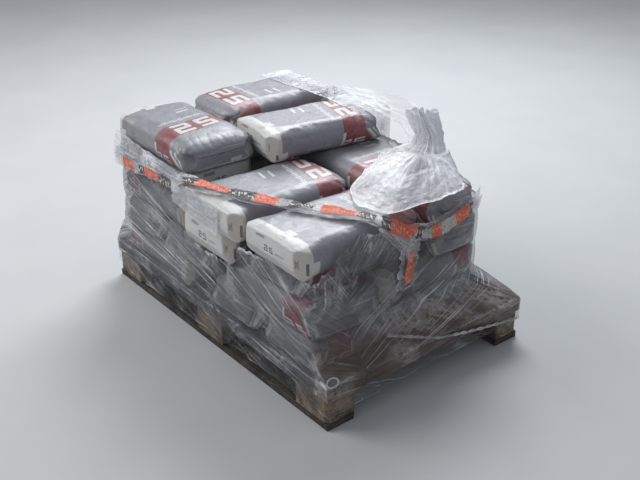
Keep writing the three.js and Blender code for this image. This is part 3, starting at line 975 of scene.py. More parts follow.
@dataclass(frozen=True)
class WoodFinish:
    """Weathered, dirty sawn softwood."""

    light: Colour = shade(88, 82, 76)
    dark: Colour = shade(44, 41, 39)
    dirt: Colour = shade(46, 42, 38)
    bleach: float = 0.2

    def material(self, name: str, seed: float, along: tuple[int, int, int]) -> Material:
        """Wood with its grain along one way of the board.

        Args:
            name: The material's name.
            seed: Number that picks the grain.
            along: Which of the object's axes run along, across and through the board.

        Returns:
            The material.
        """
        material, b, shader = new_material(name)
        place = b.place()
        axes = b.parts(place)
        turned = b.join(*(axes[i] for i in along))
        grain = b.group(Effects.GRAIN, Place=turned, Stretch=16.0, Seed=seed)
        wide = b.noise(b.vector("MULTIPLY", turned, (2.0, 14.0, 14.0)).outputs[0], 1.0, 4.0)
        mixed = b.plus(b.times(grain.outputs["Rings"], 0.45), b.times(b.span(wide, 0.3, 0.7), 0.55))
        colour = b.blend(mixed, self.dark, self.light)
        bleached = b.span(b.noise(place, 7.0, 3.0), 0.48, 0.72, 0.0, self.bleach)
        colour = b.blend(bleached, colour, shade(160, 150, 136))
        dirt = b.group(Effects.GRIME, Place=place, Scale=14.0, Level=0.46, Low=0.0, High=0.16).outputs[0]
        colour = b.blend(b.times(dirt, 0.75), colour, self.dirt)
        colour = b.blend(grain.outputs["Crack"], colour, shade(30, 26, 22))
        height = b.minus(grain.outputs["Rings"], b.times(grain.outputs["Crack"], 2.0))
        normal = b.bump(grain.outputs["Saw"], 0.0006, 0.4, b.bump(height, 0.0012, 0.6))
        b.give(shader, Base_Color=colour, Roughness=b.span(dirt, 0.0, 1.0, 0.78, 0.92), Normal=normal)
        return material


# Sacks


class WhiteEnd(Enum):
    """The way that a sack's white end faces, as the turn of the sack in degrees."""

    LEFT = 0
    FRONT = 90
    RIGHT = 180
    REAR = 270


class Detail(Enum):
    """How finely a sack is made, as columns on its flats and rolls, and rows on its ends and body."""

    HERO = (44, 30, 15, 10, 96)
    NEAR = (26, 20, 8, 6, 58)
    FAR = (16, 12, 5, 4, 34)


@dataclass(frozen=True)
class EndShape:
    """How a sack's skin turns into one end face: the arc's reach and losses, and the face's bulge."""

    reach: float
    top: float
    bottom: float
    narrow: float
    bulge: float
    square: float


@dataclass(frozen=True)
class SackPlan:
    """Where one sack lies and what is its own: slide, print and fill."""

    node: str
    white: WhiteEnd
    detail: Detail = Detail.FAR
    pinched: bool = False
    skew: float = 0.0
    shift: float = 0.0
    shear: float = 0.0
    crown: float = 0.004
    droop: float = 0.0


L, F, R, B = WhiteEnd.LEFT, WhiteEnd.FRONT, WhiteEnd.RIGHT, WhiteEnd.REAR
HERO, NEAR = Detail.HERO, Detail.NEAR
SACKS = (
    SackPlan("sack_1_front_left", R, NEAR),
    SackPlan("sack_1_rear_left", B),
    SackPlan("sack_1_rear_middle", F),
    SackPlan("sack_1_front_middle", B, NEAR),
    SackPlan("sack_1_front_right", B, NEAR),
    SackPlan("sack_1_rear_right", L, NEAR, pinched=True),
    SackPlan("sack_2_front_left", B, NEAR),
    SackPlan("sack_2_front_middle", B, NEAR),
    SackPlan("sack_2_rear_left", R),
    SackPlan("sack_2_front_right", L, NEAR),
    SackPlan("sack_2_rear_middle", F),
    SackPlan("sack_2_rear_right", F, NEAR, pinched=True),
    SackPlan("sack_3_front_left", R, NEAR),
    SackPlan("sack_3_rear_left", F),
    SackPlan("sack_3_front_middle", F, HERO),
    SackPlan("sack_3_front_right", B, NEAR),
    SackPlan("sack_3_rear_middle", R),
    SackPlan("sack_3_rear_right", L, NEAR, pinched=True),
    SackPlan("sack_4_front_left", R, NEAR),
    SackPlan("sack_4_rear_left", F, NEAR),
    SackPlan("sack_4_front_middle", F, HERO, shift=0.03, shear=-0.2, crown=0.008),
    SackPlan("sack_4_front_right", F, HERO, shift=0.02, crown=0.008),
    SackPlan("sack_4_rear_middle", L, HERO, crown=0.008),
    SackPlan("sack_4_rear_right", L, NEAR, pinched=True, crown=0.008),
    SackPlan("sack_5_front_left", L, HERO, shift=-0.07, shear=0.12, crown=0.010, droop=0.006),
    SackPlan("sack_5_rear_left", B, HERO, crown=0.010, droop=0.004),
    SackPlan("sack_5_rear_middle", F, HERO, skew=-7.0, shift=-0.01, shear=-0.15, crown=0.011, droop=0.005),
)


@dataclass
class SackForm:
    """The skin of one filled sack as a grid: rows from the white end to the grey end, columns round it.

    A cross-section is a flat top and bottom with rolled sides. Towards an end the outline shrinks
    along a quarter arc, and over the end face it shrinks inwards evenly until it closes in a line.
    """

    length: float
    width: float
    height: float
    seed: int
    detail: Detail = Detail.FAR
    crown: float = 0.004
    droop: float = 0.0
    pinched: bool = False
    print_length: float = 0.458
    white: EndShape = EndShape(0.011, 0.010, 0.008, 0.010, 0.002, 5.0)
    grey: EndShape = EndShape(0.048, 0.036, 0.012, 0.026, 0.004, 3.2)
    squareness: float = 2.7
    facet: float = 0.038
    fold: float = 0.036
    zone: Array = field(init=False)

    def row_profile(self) -> tuple[Array, Array, Array, Array, Array]:
        """How far along each row is, and how much smaller and squarer the outline is there.

        Returns:
            Way along s, loss at the top, loss at the bottom, loss of half width and squareness.
        """
        face_rows, arc_rows, body_rows = self.detail.value[2:]
        half = self.height / 2
        parts = []
        for end in (self.white, self.grey):
            q = np.linspace(0.975, 0.0, face_rows)
            top = end.top + (half - end.top) * q
            bottom = end.bottom + (half - end.bottom) * q
            narrow = end.narrow + (top + bottom - end.top - end.bottom) / 2
            face = joined(end.bulge * (1.0 - q) ** 2, top, bottom, narrow)
            angle = np.linspace(np.pi / 2, 0.0, arc_rows + 1)[1:]
            loss = 1.0 - np.cos(angle)
            x = end.bulge + end.reach * (1.0 - np.sin(angle))
            arc = joined(x, end.top * loss, end.bottom * loss, end.narrow * loss)
            part = np.concatenate([face, arc])
            square = self.squareness + (end.square - self.squareness) * ease(part[:, 0], 0.11, 0.02)
            parts.append(np.concatenate([part, square[:, None]], -1))
        white, grey = parts
        grey = grey[::-1].copy()
        grey[:, 0] = self.length - grey[:, 0]
        s = np.linspace(white[-1, 0], grey[0, 0], body_rows + 2)[1:-1]
        zero = np.zeros_like(s)
        away = np.minimum(s, self.length - s)
        ends = np.where(s < self.length / 2, self.white.square, self.grey.square)
        square = self.squareness + (ends - self.squareness) * ease(away, 0.11, 0.02)
        body = joined(s, zero, zero, zero, square)
        rows = np.concatenate([white, body, grey])
        self.zone = np.zeros(len(rows) - 1, int)
        self.zone[:face_rows] = 1
        self.zone[-face_rows:] = 2
        return tuple(rows.T)

    def section(self, square: Array) -> tuple[Array, Array, Array]:
        """The cross-sections, from the middle of the underside up the left side and over the top.

        Args:
            square: Squareness of each row, the power of the roll's curve.

        Returns:
            Each column's share of the flat half width, and by row and column the reach over the side
            roll and the share of the half height.
        """
        flat_steps, side_steps = self.detail.value[:2]
        power = (2.0 / square)[:, None]
        angle = np.linspace(-np.pi / 2, np.pi / 2, side_steps + 1)[None, :]
        reach = np.cos(angle).clip(0.0) ** power
        lift = np.sign(np.sin(angle)) * np.abs(np.sin(angle)) ** power
        flat = np.linspace(0.0, 1.0, flat_steps // 2 + 1)
        top = np.linspace(1.0, -1.0, flat_steps + 1)[1:-1]
        one = np.ones(side_steps + 1)
        share = np.concatenate([flat[:-1], one, top, -one, -flat[::-1][1:-1]])
        rows = len(square)
        none = np.zeros((rows, len(flat) - 1))
        over = np.concatenate([none, reach, np.zeros((rows, len(top))), -reach[:, ::-1], none[:, 1:]], 1)
        up = np.concatenate([none - 1, lift, np.ones((rows, len(top))), lift[:, ::-1], none[:, 1:] - 1], 1)
        return share, over, up

    def plain(self) -> tuple[Array, Array]:
        """The skin before its creases.

        Returns:
            Points, rows by columns by 3, and the way round of each column and the seam again.
        """
        s, top, bottom, narrow, square = self.row_profile()
        share, over, up = self.section(square)
        half = self.height / 2
        half_wide = (self.width / 2 - narrow) * (1.0 - 0.012 * ((2 * s / self.length) - 1.0) ** 2)
        roll = np.minimum(half - (top + bottom) / 2, half_wide)[:, None]
        y = share * (half_wide[:, None] - roll) + over * roll
        z = up * np.where(up > 0.0, half - top[:, None], half - bottom[:, None])
        rise = np.clip(z, 0.0, None) / half
        bow = (np.abs(y) / (self.width / 2)) ** 2 + 0.6 * ((2 * s / self.length - 1.0) ** 2)[:, None]
        z = z - rise * self.crown * bow
        x = np.broadcast_to(s[:, None], y.shape)
        middle = len(s) // 2
        ring = np.append(y[middle], y[middle, 0]), np.append(z[middle], z[middle, 0])
        way = np.concatenate([[0.0], np.cumsum(np.hypot(np.diff(ring[0]), np.diff(ring[1])))])
        return joined(x, y, z + half), way - way[-1] / 2

    def creased(self, points: Array, way: Array) -> Array:
        """Adds dents, the creases of the grey end, its corner pits and the folds of the white end.

        Args:
            points: The skin, rows by columns by 3.
            way: Way round of each column.

        Returns:
            The creased skin.
        """
        p = points.copy()
        far = self.length
        seeded = p + np.array([3.1, 1.7, 0.9]) * self.seed
        middle = joined(p[..., 0], p[..., 1] * 0.4, np.full(p.shape[:2], self.height / 2))
        out = p - middle
        out /= np.linalg.norm(out, axis=-1, keepdims=True) + 1e-9
        dents = 0.0026 * noise(seeded, 0.11, self.seed)
        dents += 0.0008 * noise(seeded, 0.038, self.seed + 5)
        g = np.broadcast_to(np.abs(way[:-1]), p.shape[:2])
        near = ease(p[..., 0], far - 0.10, far - 0.02)
        sway = 2.0 * noise(seeded, 0.06, self.seed + 9)
        gather = (1.0 - np.abs(np.sin(np.pi * g / 0.034 + sway + 25.0 * (far - p[..., 0])))) ** 2
        dents -= 0.0016 * gather * near
        side_mid = (way[-1] - way[0]) / 4
        for side in (-1.0, 1.0):
            dents -= self.fan(p, way[:-1] * -side, side_mid, side)
        front = ease(p[..., 0], 0.09, 0.01)
        dents += 0.0030 * (0.4 - ridges(seeded, (0.07, 0.045, 0.035), self.seed + 13)) * front
        p = p + out * dents[..., None]
        for side in (-1.0, 1.0):
            p = self.pit(p, side)
        p = self.crisp_foot(p)
        return self.folded_corners(self.tucked(p))

    def fan(self, p: Array, g: Array, side_mid: float, side: float) -> Array:
        """Creases that spread over the top roll from one corner pit.

        In the unwrapped skin, the depth is one minus the size of a sine of the angle round the pit,
        to the power 1.5, inside a ring round it.

        Args:
            p: The skin.
            g: Way round of each column, growing towards this side.
            side_mid: Way round of the middle of the side.
            side: -1 for the right corner, 1 for the left.

        Returns:
            How deep the crease is at each point.
        """
        ds = self.length - 0.012 - p[..., 0]
        dg = side_mid + 0.004 - g[None, :]
        reach = np.hypot(ds, dg)
        angle = np.arctan2(ds, dg)
        bend = 1.6 * noise(p + self.seed, 0.05, self.seed + 21)
        waves = (1.0 - np.abs(np.sin(7.0 * angle + bend + self.seed + side))) ** 1.5
        ring = ease(reach, 0.006, 0.022) * ease(reach, 0.098, 0.035)
        return (0.0072 if side < 0 else 0.0058) * waves * ring

    def pit(self, p: Array, side: float) -> Array:
        """The deep tuck at one corner of the grey end: a bell-shaped dent with small folds round it.

        Args:
            p: The skin.
            side: -1 for the right corner, 1 for the left.

        Returns:
            The changed skin.
        """
        inset = 0.022 + (0.02 if self.pinched else 0.0)
        centre = np.array([self.length - 0.012, side * (self.width / 2 - inset), self.height * 0.43])
        away = (p - centre) / np.array([1.0, 1.0, 1.25])
        reach = np.linalg.norm(away, axis=-1)
        tuck = 0.026 * np.exp(-((reach / 0.017) ** 2)) + 0.008 * np.exp(-((reach / 0.042) ** 2))
        inward = np.array([-0.75, -0.66 * side, 0.0])
        return p + inward * tuck[..., None]

    def crisp_foot(self, p: Array) -> Array:
        """Draws the grey end's lower half towards the end, so that its foot is a crisp edge.

        Args:
            p: The skin.

        Returns:
            The changed skin.
        """
        away = self.length - p[..., 0]
        low = 1.0 - ease(p[..., 2] / self.height, 0.10, 0.62)
        near = ease(away, 0.13, 0.05)
        x = self.length - away * (1.0 - 0.72 * low * near)
        return joined(x, p[..., 1], p[..., 2])

    def tucked(self, p: Array) -> Array:
        """Folds the lower part of the white end inwards below a level line.

        Args:
            p: The skin.

        Returns:
            The changed skin.
        """
        below = np.clip(self.fold + 0.05 * p[..., 1] - p[..., 2], 0.0, None)
        near = np.clip(1.0 - p[..., 0] / 0.045, 0.0, 1.0)
        return joined(p[..., 0] + 0.42 * below * near, p[..., 1], p[..., 2])

    def folded_corners(self, p: Array) -> Array:
        """Cuts the upright corners of the white end by flat folds that narrow a little lower down.

        A point nearer the corner than the fold's plane moves back onto it.

        Args:
            p: The skin.

        Returns:
            The changed skin.
        """
        half = self.width / 2
        x, y = p[..., 0], p[..., 1]
        height = np.clip(p[..., 2] / self.height, 0.0, 1.0)
        for side, share in ((-1.0, 1.0), (1.0, 0.85)):
            cut = self.facet * share * (0.72 + 0.28 * height)
            lack = cut - (x + np.clip(half - y * side, 0.0, None))
            push = np.where(lack > 0.0, lack, 0.0) / 2.0
            x = x + push
            y = y - side * push
        return joined(x, y, p[..., 2])

    def fitted(self, p: Array) -> Array:
        """Presses the skin flat where it would stand out of its box.

        Args:
            p: The skin.

        Returns:
            The skin inside 0..length, -width/2..width/2 and 0..height.
        """
        sag = self.droop * ease(p[..., 0], self.length - 0.16, self.length)
        z = p[..., 2] - sag * ease(p[..., 2], 0.03, self.height)
        half = self.width / 2
        box = ((p[..., 0], 0.0, self.length), (p[..., 1], -half, half), (z, 0.0, self.height))
        return np.stack([self.pressed(v, low, high) for v, low, high in box], -1)

    @staticmethod
    def pressed(v: Array, low: float, high: float) -> Array:
        """Holds a coordinate in its range: what passes an end is squeezed into the last half millimetre.

        Args:
            v: The coordinate.
            low: Least value.
            high: Largest value.

        Returns:
            The held coordinate.
        """
        give = 0.0005
        over = np.clip(v - (high - give), 0.0, None)
        under = np.clip(low + give - v, 0.0, None)
        held = np.clip(v, low + give, high - give)
        return held + give * np.tanh(over / give) - give * np.tanh(under / give)

    def maps(
        self, p: Array, way: Array, shift: float, shear: float
    ) -> tuple[Array, Array]:
        """The print's map: along and round on the body, across and up on the two end faces.

        Args:
            p: The plain skin.
            way: Way round of each column, with the seam again.
            shift: How far this sack's print is moved along.
            shear: How far the print runs askew, in metres along for each metre round.

        Returns:
            The two numbers of the map, rows by columns and one more.
        """
        wide = np.concatenate([p, p[:, :1]], 1)
        moved = wide[..., 0] * self.print_length / self.length - shift - shear * way[None, :]
        blend = ease(wide[..., 0], 0.06, 0.14)
        along = wide[..., 0] + (moved - wide[..., 0]) * blend
        round_it = np.broadcast_to(way, along.shape)
        u, v = along.copy(), round_it.copy()
        rows = len(p)
        face_rows = self.detail.value[2]
        for start, stop in ((0, face_rows), (rows - face_rows, rows)):
            u[start:stop] = -wide[start:stop, :, 1]
            v[start:stop] = wide[start:stop, :, 2]
        return u, v


@dataclass
class Stuffing:
    """Swells sacks with Blender's Cloth: each is a coarse copy of its skin under air pressure."""

    pressure: float = 4.0
    frames: int = 20
    cap: float = 0.005
    rows: int = 54
    columns: int = 56

    def pick(self, rows: int, cols: int) -> tuple[Array, Array]:
        """Which rows and columns of a skin the coarse copy keeps.

        Args:
            rows: Rows of the skin.
            cols: Columns of the skin.

        Returns:
            The kept rows and the kept columns.
        """
        row_at = np.unique(np.round(np.linspace(0, rows - 1, min(rows, self.rows))).astype(int))
        step = max(1, cols // self.columns)
        return row_at, np.arange(0, cols - cols % step, step)

    def swell(self, skins: list[Array]) -> list[Array]:
        """Runs the cloth on every skin at once.

        Args:
            skins: Creased skins, each at its own place.

        Returns:
            How far each point of each skin has moved, held to the cap.
        """
        scene = bpy.context.scene
        picks = [self.pick(*skin.shape[:2]) for skin in skins]
        copies = []
        for number, (skin, (row_at, col_at)) in enumerate(zip(skins, picks)):
            coarse = skin[np.ix_(row_at, col_at)]
            copy = GridMesh(f"swell_{number}", coarse, True, closed_ends=True).build([])
            cloth = copy.modifiers.new("swell", "CLOTH")
            cloth.settings.use_pressure = True
            cloth.settings.uniform_pressure_force = self.pressure
            cloth.settings.effector_weights.gravity = 0.0
            cloth.settings.quality = 5
            cloth.settings.tension_stiffness = 15.0
            cloth.settings.compression_stiffness = 15.0
            cloth.settings.bending_stiffness = 0.5
            cloth.point_cache.frame_start = 1
            cloth.point_cache.frame_end = self.frames
            copies.append(copy)
        for frame in range(1, self.frames + 1):
            scene.frame_set(frame)
        graph = bpy.context.evaluated_depsgraph_get()
        moves = []
        for copy, skin, (row_at, col_at) in zip(copies, skins, picks):
            mesh = copy.evaluated_get(graph).to_mesh()
            coords = np.empty(len(mesh.vertices) * 3, np.float32)
            mesh.vertices.foreach_get("co", coords)
            coarse = skin[np.ix_(row_at, col_at)]
            move = coords.reshape(coarse.shape) - coarse
            size = np.linalg.norm(move, axis=-1, keepdims=True)
            held = move * (self.cap * np.tanh(size / self.cap) / np.maximum(size, 1e-9))
            moves.append(self.spread(held, row_at, col_at, *skin.shape[:2]))
        for copy in copies:
            data = copy.data
            bpy.data.objects.remove(copy)
            bpy.data.meshes.remove(data)
        scene.frame_set(1)
        return moves

    @staticmethod
    def spread(
        coarse: Array, row_at: Array, col_at: Array, rows: int, cols: int
    ) -> Array:
        """Carries values of a coarse grid to every row and column, straight between its lines.

        Args:
            coarse: Values on the coarse grid, with the vector last.
            row_at: Fine row of each coarse row.
            col_at: Fine column of each coarse column.
            rows: Rows of the fine grid.
            cols: Columns of the fine grid, which close round.

        Returns:
            Values on the fine grid.
        """
        wide = np.concatenate([coarse, coarse[:, :1]], 1)
        edges = np.append(col_at, cols)
        at = np.arange(rows)
        i = np.clip(np.searchsorted(row_at, at, side="right") - 1, 0, len(row_at) - 2)
        t = ((at - row_at[i]) / (row_at[i + 1] - row_at[i]))[:, None, None]
        by_row = wide[i] * (1.0 - t) + wide[i + 1] * t
        at = np.arange(cols)
        j = np.clip(np.searchsorted(edges, at, side="right") - 1, 0, len(edges) - 2)
        t = ((at - edges[j]) / (edges[j + 1] - edges[j]))[None, :, None]
        return by_row[:, j] * (1.0 - t) + by_row[:, j + 1] * t


@dataclass
class SackLoad:
    """All the sacks: each plan's form, simulated skin, creases, print and place."""

    paper: SackPaper
    stuffing: Stuffing = field(default_factory=Stuffing)
    plans: tuple[SackPlan, ...] = SACKS
    fill: float = 0.9
    film_clearance: float = 0.012

    @staticmethod
    def own_size(plan: SackPlan, low: Vector, high: Vector) -> tuple[float, float]:
        """Length and width of a sack in its own axes, from its box in the frame.

        A sack that has slid round by an angle a has a box of length l cos a + w sin a by w cos a +
        l sin a, which is solved for l and w.

        Args:
            plan: The sack's plan.
            low: Lowest corner.
            high: Highest corner.

        Returns:
            Length and width.
        """
        x, y = high.x - low.x, high.y - low.y
        long_side, short_side = (x, y) if plan.white in (L, R) else (y, x)
        c, s = math.cos(math.radians(plan.skew)), abs(math.sin(math.radians(plan.skew)))
        spread = c * c - s * s
        return (long_side * c - short_side * s) / spread, (short_side * c - long_side * s) / spread

    def build(self) -> list[Piece]:
        """Makes every sack in the space of its CAD solid.

        Returns:
            The sacks' objects.
        """
        forms, skins, maps = [], [], []
        for number, plan in enumerate(self.plans):
            low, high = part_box(plan.node)
            length, width = self.own_size(plan, low, high)
            own = (11 + 17 * number, plan.detail, plan.crown, plan.droop, plan.pinched)
            form = SackForm(length, width, high.z - low.z, *own)
            plain, way = form.plain()
            forms.append(form)
            maps.append(form.maps(plain, way, plan.shift, plan.shear))
            skins.append(form.creased(plain, way))
        moves = self.stuffing.swell(skins)
        skins = [skin + move for skin, move in zip(skins, moves)]
        papers = [self.paper.body(), self.paper.white_end(), self.paper.grey_end()]
        return [self.sack(*parts, papers) for parts in zip(self.plans, forms, skins, maps)]

    def under_film(self, points: Array) -> Array:
        """Presses a corner that stands past the wound film's drawn-in corner back under it.

        The film's outline there is part of an ellipse. A point outside one that is smaller by the
        clearance moves straight towards its middle, less so where the ellipse runs into the sides.

        Args:
            points: A sack's skin in its place.

        Returns:
            The skin under the film.
        """
        skirt = FilmSkirt()
        middle = joined(*(read(skirt.drawn_in, points[..., 2], column) for column in (1, 2)))
        away = points[..., :2] - middle
        share = away / (np.array(skirt.drawn_reach) - self.film_clearance)
        far = np.maximum(np.linalg.norm(share, axis=-1), 1.0)
        turn = np.degrees(np.arctan2(share[..., 1], share[..., 0]))
        held = ease(turn, 2.0, 15.0) * ease(turn, 92.0, 78.0)
        scale = 1.0 + held * (1.0 / far - 1.0)
        return np.concatenate([middle + away * scale[..., None], points[..., 2:]], -1)

    def sack(
        self,
        plan: SackPlan,
        form: SackForm,
        skin: Array,
        maps: tuple[Array, Array],
        papers: list[Material],
    ) -> Piece:
        """Places one skin and makes its object.

        Args:
            plan: The sack's plan.
            form: Its form.
            skin: Its skin in its own axes.
            maps: The two numbers of its map.
            papers: The three materials.

        Returns:
            The sack.
        """
        low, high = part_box(plan.node)
        skin = form.fitted(skin)
        skin[..., 0] -= form.length / 2
        centre = ((low.x + high.x) / 2, (low.y + high.y) / 2, low.z)
        placed = self.under_film(ring_turn(skin, plan.white.value + plan.skew, centre))
        mesh = GridMesh(plan.node + "_skin", placed, True, *maps, closed_ends=True, row_slots=form.zone)
        piece = mesh.build(papers)
        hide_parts(plan.node)
        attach(piece, BODY)
        return piece


# Pallet


@dataclass
class PalletWood:
    """The pallet's boards and blocks: the CAD solids, with worn arrises and weathered wood."""

    arris: float = 0.0025

    def build(self, nodes: dict[str, Piece]) -> list[Piece]:
        """Dresses every board and block.

        Args:
            nodes: The frame's nodes by name.

        Returns:
            The dressed nodes.
        """
        dressed = []
        names = [n for n in nodes if n.startswith(("bottom_board", "block_", "cross_board", "deck_board"))]
        for number, name in enumerate(sorted(names)):
            node = nodes[name]
            if name.startswith("block_"):
                finish = WoodFinish(light=shade(168, 152, 130), dark=shade(108, 94, 78))
                along = (1, 0, 2) if "left" in name or "right" in name else (0, 1, 2)
            else:
                finish = WoodFinish()
                along = (1, 0, 2) if name.startswith("cross_board") else (0, 1, 2)
            node.data.materials.clear()
            node.data.materials.append(finish.material("wood_" + name, 3.7 * number, along))
            weld = node.modifiers.new("weld", "WELD")
            weld.merge_threshold = 0.0001
            bevel = node.modifiers.new("arris", "BEVEL")
            bevel.width = self.arris
            bevel.segments = 2
            bevel.limit_method = "ANGLE"
            dressed.append(node)
        return dressed


# Film


class Film(Enum):
    """The kinds of film, each by the name of its material."""

    WOUND = "film_wound"
    BUNCHED = "film_bunched"
    MILKY = "film_milky"
    SMOOTH = "film_smooth"
    LIMP = "film_limp"


@dataclass(frozen=True)
class Declared:
    """What a film piece stands for and how its sheet is held."""

    node: str | None
    flat: tuple[float, float]
    held: str
    rests_on: tuple[str, ...]
    area: float | None = None

    def finish(self, piece: Piece, slot: str = "stretch_film") -> Piece:
        """Hides the frame's node that it stands for, if any, and ties the finished sheet to the frame.

        Args:
            piece: The sheet.
            slot: Not used.

        Returns:
            The sheet.
        """
        if self.node is not None:
            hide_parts(self.node)
        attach(piece, BODY)
        return piece


@dataclass
class FilmSheet:
    """An open sheet of film over a grid, with its own map, its pull map and its thickness."""

    name: str
    points: Array
    thick: Array
    pull_turn: float = 0.0
    pull_fine: float = 60.0

    def build(self, material: Material) -> Piece:
        """Makes the sheet, its map measured along and across its middle lines in metres.

        Args:
            material: The film.

        Returns:
            The sheet.
        """
        rows, cols = self.points.shape[:2]
        u = distances(self.points[rows // 2])
        v = distances(self.points[:, cols // 2])
        v = v - v[-1] / 2
        u_map, v_map = np.meshgrid(u, v)
        c, s = math.cos(math.radians(self.pull_turn)), math.sin(math.radians(self.pull_turn))
        pull = ((v_map * c + u_map * s) * self.pull_fine, (u_map * c - v_map * s) * 2.0)
        mesh = GridMesh(self.name, self.points, u=u_map, v=v_map, thick=self.thick, pull=pull)
        return mesh.build([material])


@dataclass
class FilmSkirt:
    """The wound film: upright over the edge of the deck, sloping in to the sacks, then up to its tear."""

    foot: float = 0.100
    knee: float = 0.146
    pitch: float = 0.1012
    first_layer: float = 0.1443
    front: Table = ((0.146, 0.4025), (0.180, 0.4045), (0.250, 0.407))
    right: Table = ((0.146, 0.6025), (0.262, 0.5415))
    rear: Table = ((0.146, 0.4025), (0.262, 0.352))
    left: Table = (
        (0.146, 0.6025), (0.25, 0.567), (0.30, 0.549), (0.44, 0.549), (0.50, 0.545), (0.55, 0.537),
    )
    drawn_in: Table = ((0.456, 0.4541, 0.1952), (0.508, 0.4586, 0.1647))
    drawn_from: float = 15.0
    drawn_reach: tuple[float, float] = (0.066, 0.120)
    lean: tuple[float, float] = (0.066, 0.264)
    top_front: Table = (
        (-0.484, 0.541), (-0.45, 0.533), (-0.41, 0.520), (-0.34, 0.505), (-0.13, 0.500),
        (-0.112, 0.343), (0.172, 0.343), (0.20, 0.425), (0.26, 0.438), (0.50, 0.442),
    )
    top_right: Table = (
        (-0.36, 0.468), (-0.30, 0.515), (-0.24, 0.538), (-0.165, 0.531), (-0.12, 0.522),
        (-0.06, 0.500), (0.0, 0.470), (0.06, 0.470), (0.13, 0.485), (0.20, 0.504),
    )
    hole: tuple[float, float, float] = (0.583, -0.379, 0.152)
    # Heights of the torn edge past the front and the right: two corners, rear, corner, left, corner.
    corner_tops: tuple[float, float] = (0.445, 0.508)
    far_tops: tuple[float, ...] = (0.530, 0.542, 0.544, 0.544)
    corner_way: float = 1.15
    slope: float = 0.104
    # Middle of each corner's curve over the deck, its radius there and how much it grows up the slope.
    deck_corner: tuple[float, float] = (0.6005, 0.4005)
    sharp: float = 0.002
    growth: tuple[float, float] = (0.028, 0.058)
    rows: int = 60
    counts: tuple[int, ...] = (190, 10, 130, 30, 110, 8, 84, 24)

    def columns(self) -> tuple[Array, Array]:
        """Which side or corner each column is on, and how far along it.

        Returns:
            Side numbers, 0 front, 1 its right corner and so on round, and shares from 0 to 1.
        """
        side = np.concatenate([np.full(n, i) for i, n in enumerate(self.counts)])
        share = np.concatenate([(np.arange(n) + 0.5) / n for n in self.counts])
        return side, share

    def place(self, side: Array, share: Array, z: Array) -> tuple[Array, Array]:
        """A point of the outline at a height: a rectangle with rounded corners, the rear right drawn in.

        Args:
            side: Side number of each column.
            share: Share along that side.
            z: Heights.

        Returns:
            X and Y.
        """
        up = np.clip((z - self.knee) / self.slope, 0.0, 1.0)
        front, right, rear, left = (read(t, z) for t in (self.front, self.right, self.rear, self.left))
        r, wide = (self.sharp + growth * up for growth in self.growth)
        corner = enumerate(self.deck_corner, 1)
        mid_x, mid_y = (at + (read(self.drawn_in, z, column) - at) * up for column, at in corner)
        reach_x, reach_y = (self.sharp + (reach - self.sharp) * up for reach in self.drawn_reach)
        start = math.radians(self.drawn_from)
        turn = start + (math.pi / 2 - start) * share
        end_x, end_y = mid_x + reach_x * math.cos(start), mid_y + reach_y * math.sin(start)
        a = share * np.pi / 2
        front_x = -left + wide + (right - r + left - wide) * share
        right_y = -front + r + (end_y + front - r) * share
        lean_x = np.clip((right_y - self.lean[0]) / (end_y - self.lean[0]), 0.0, 1.0)
        rear_x = mid_x + (-left + r - mid_x) * share
        lean_y = np.clip((rear_x - self.lean[1]) / (mid_x - self.lean[1]), 0.0, 1.0)
        left_y = rear - r + (-front + wide - rear + r) * share
        x = [
            front_x,
            right - r + r * np.sin(a),
            right + (end_x - right) * up * lean_x,
            mid_x + reach_x * np.cos(turn),
            rear_x,
            -left + r - r * np.sin(a),
            -left,
            -left + wide - wide * np.cos(a),
        ]
        y = [
            -front,
            -front + r - r * np.cos(a),
            right_y,
            mid_y + reach_y * np.sin(turn),
            rear + (mid_y + reach_y - rear) * up * lean_y,
            rear - r + r * np.cos(a),
            left_y,
            -front + wide - wide * np.sin(a),
        ]
        shape = np.broadcast_shapes(z.shape, a.shape)
        cases = [np.broadcast_to(side == i, shape) for i in range(8)]
        picked_x, picked_y = (np.select(cases, [np.broadcast_to(v, shape) for v in way]) for way in (x, y))
        return picked_x, picked_y

    def top(self, side: Array, x: Array, y: Array) -> Array:
        """Height of the torn edge over each column.

        Args:
            side: Side number of each column.
            x: Places along X.
            y: Places along Y.

        Returns:
            The heights.
        """
        near, far = self.corner_tops
        tops = [read(self.top_front, x), near, read(self.top_right, y), far, *self.far_tops]
        return np.select([side == i for i in range(8)], tops)

    def pull(self, u: Array, z: Array) -> tuple[Array, Array]:
        """The pull map: across and along the lines that the film was stretched in.

        On the front and on the right they fan out from a point low down beyond the near corner.

        Args:
            u: Way round.
            z: Heights.

        Returns:
            Across and along.
        """
        corner = self.corner_way
        far = np.where(u < corner, corner + 0.22 - u, u - corner + 0.30)
        rise = z - 0.05
        fan = np.arctan2(rise, far) + 0.9 * (u > corner)
        return fan * 62.0, np.hypot(rise, far) * 1.6

    @staticmethod
    def bell(place: Array, middle: tuple[float, ...], size: tuple[float, ...]) -> Array:
        """A bell curve round a middle, with its own size along each axis."""
        return np.exp(-(((place - np.array(middle)) / np.array(size)) ** 2).sum(axis=-1))

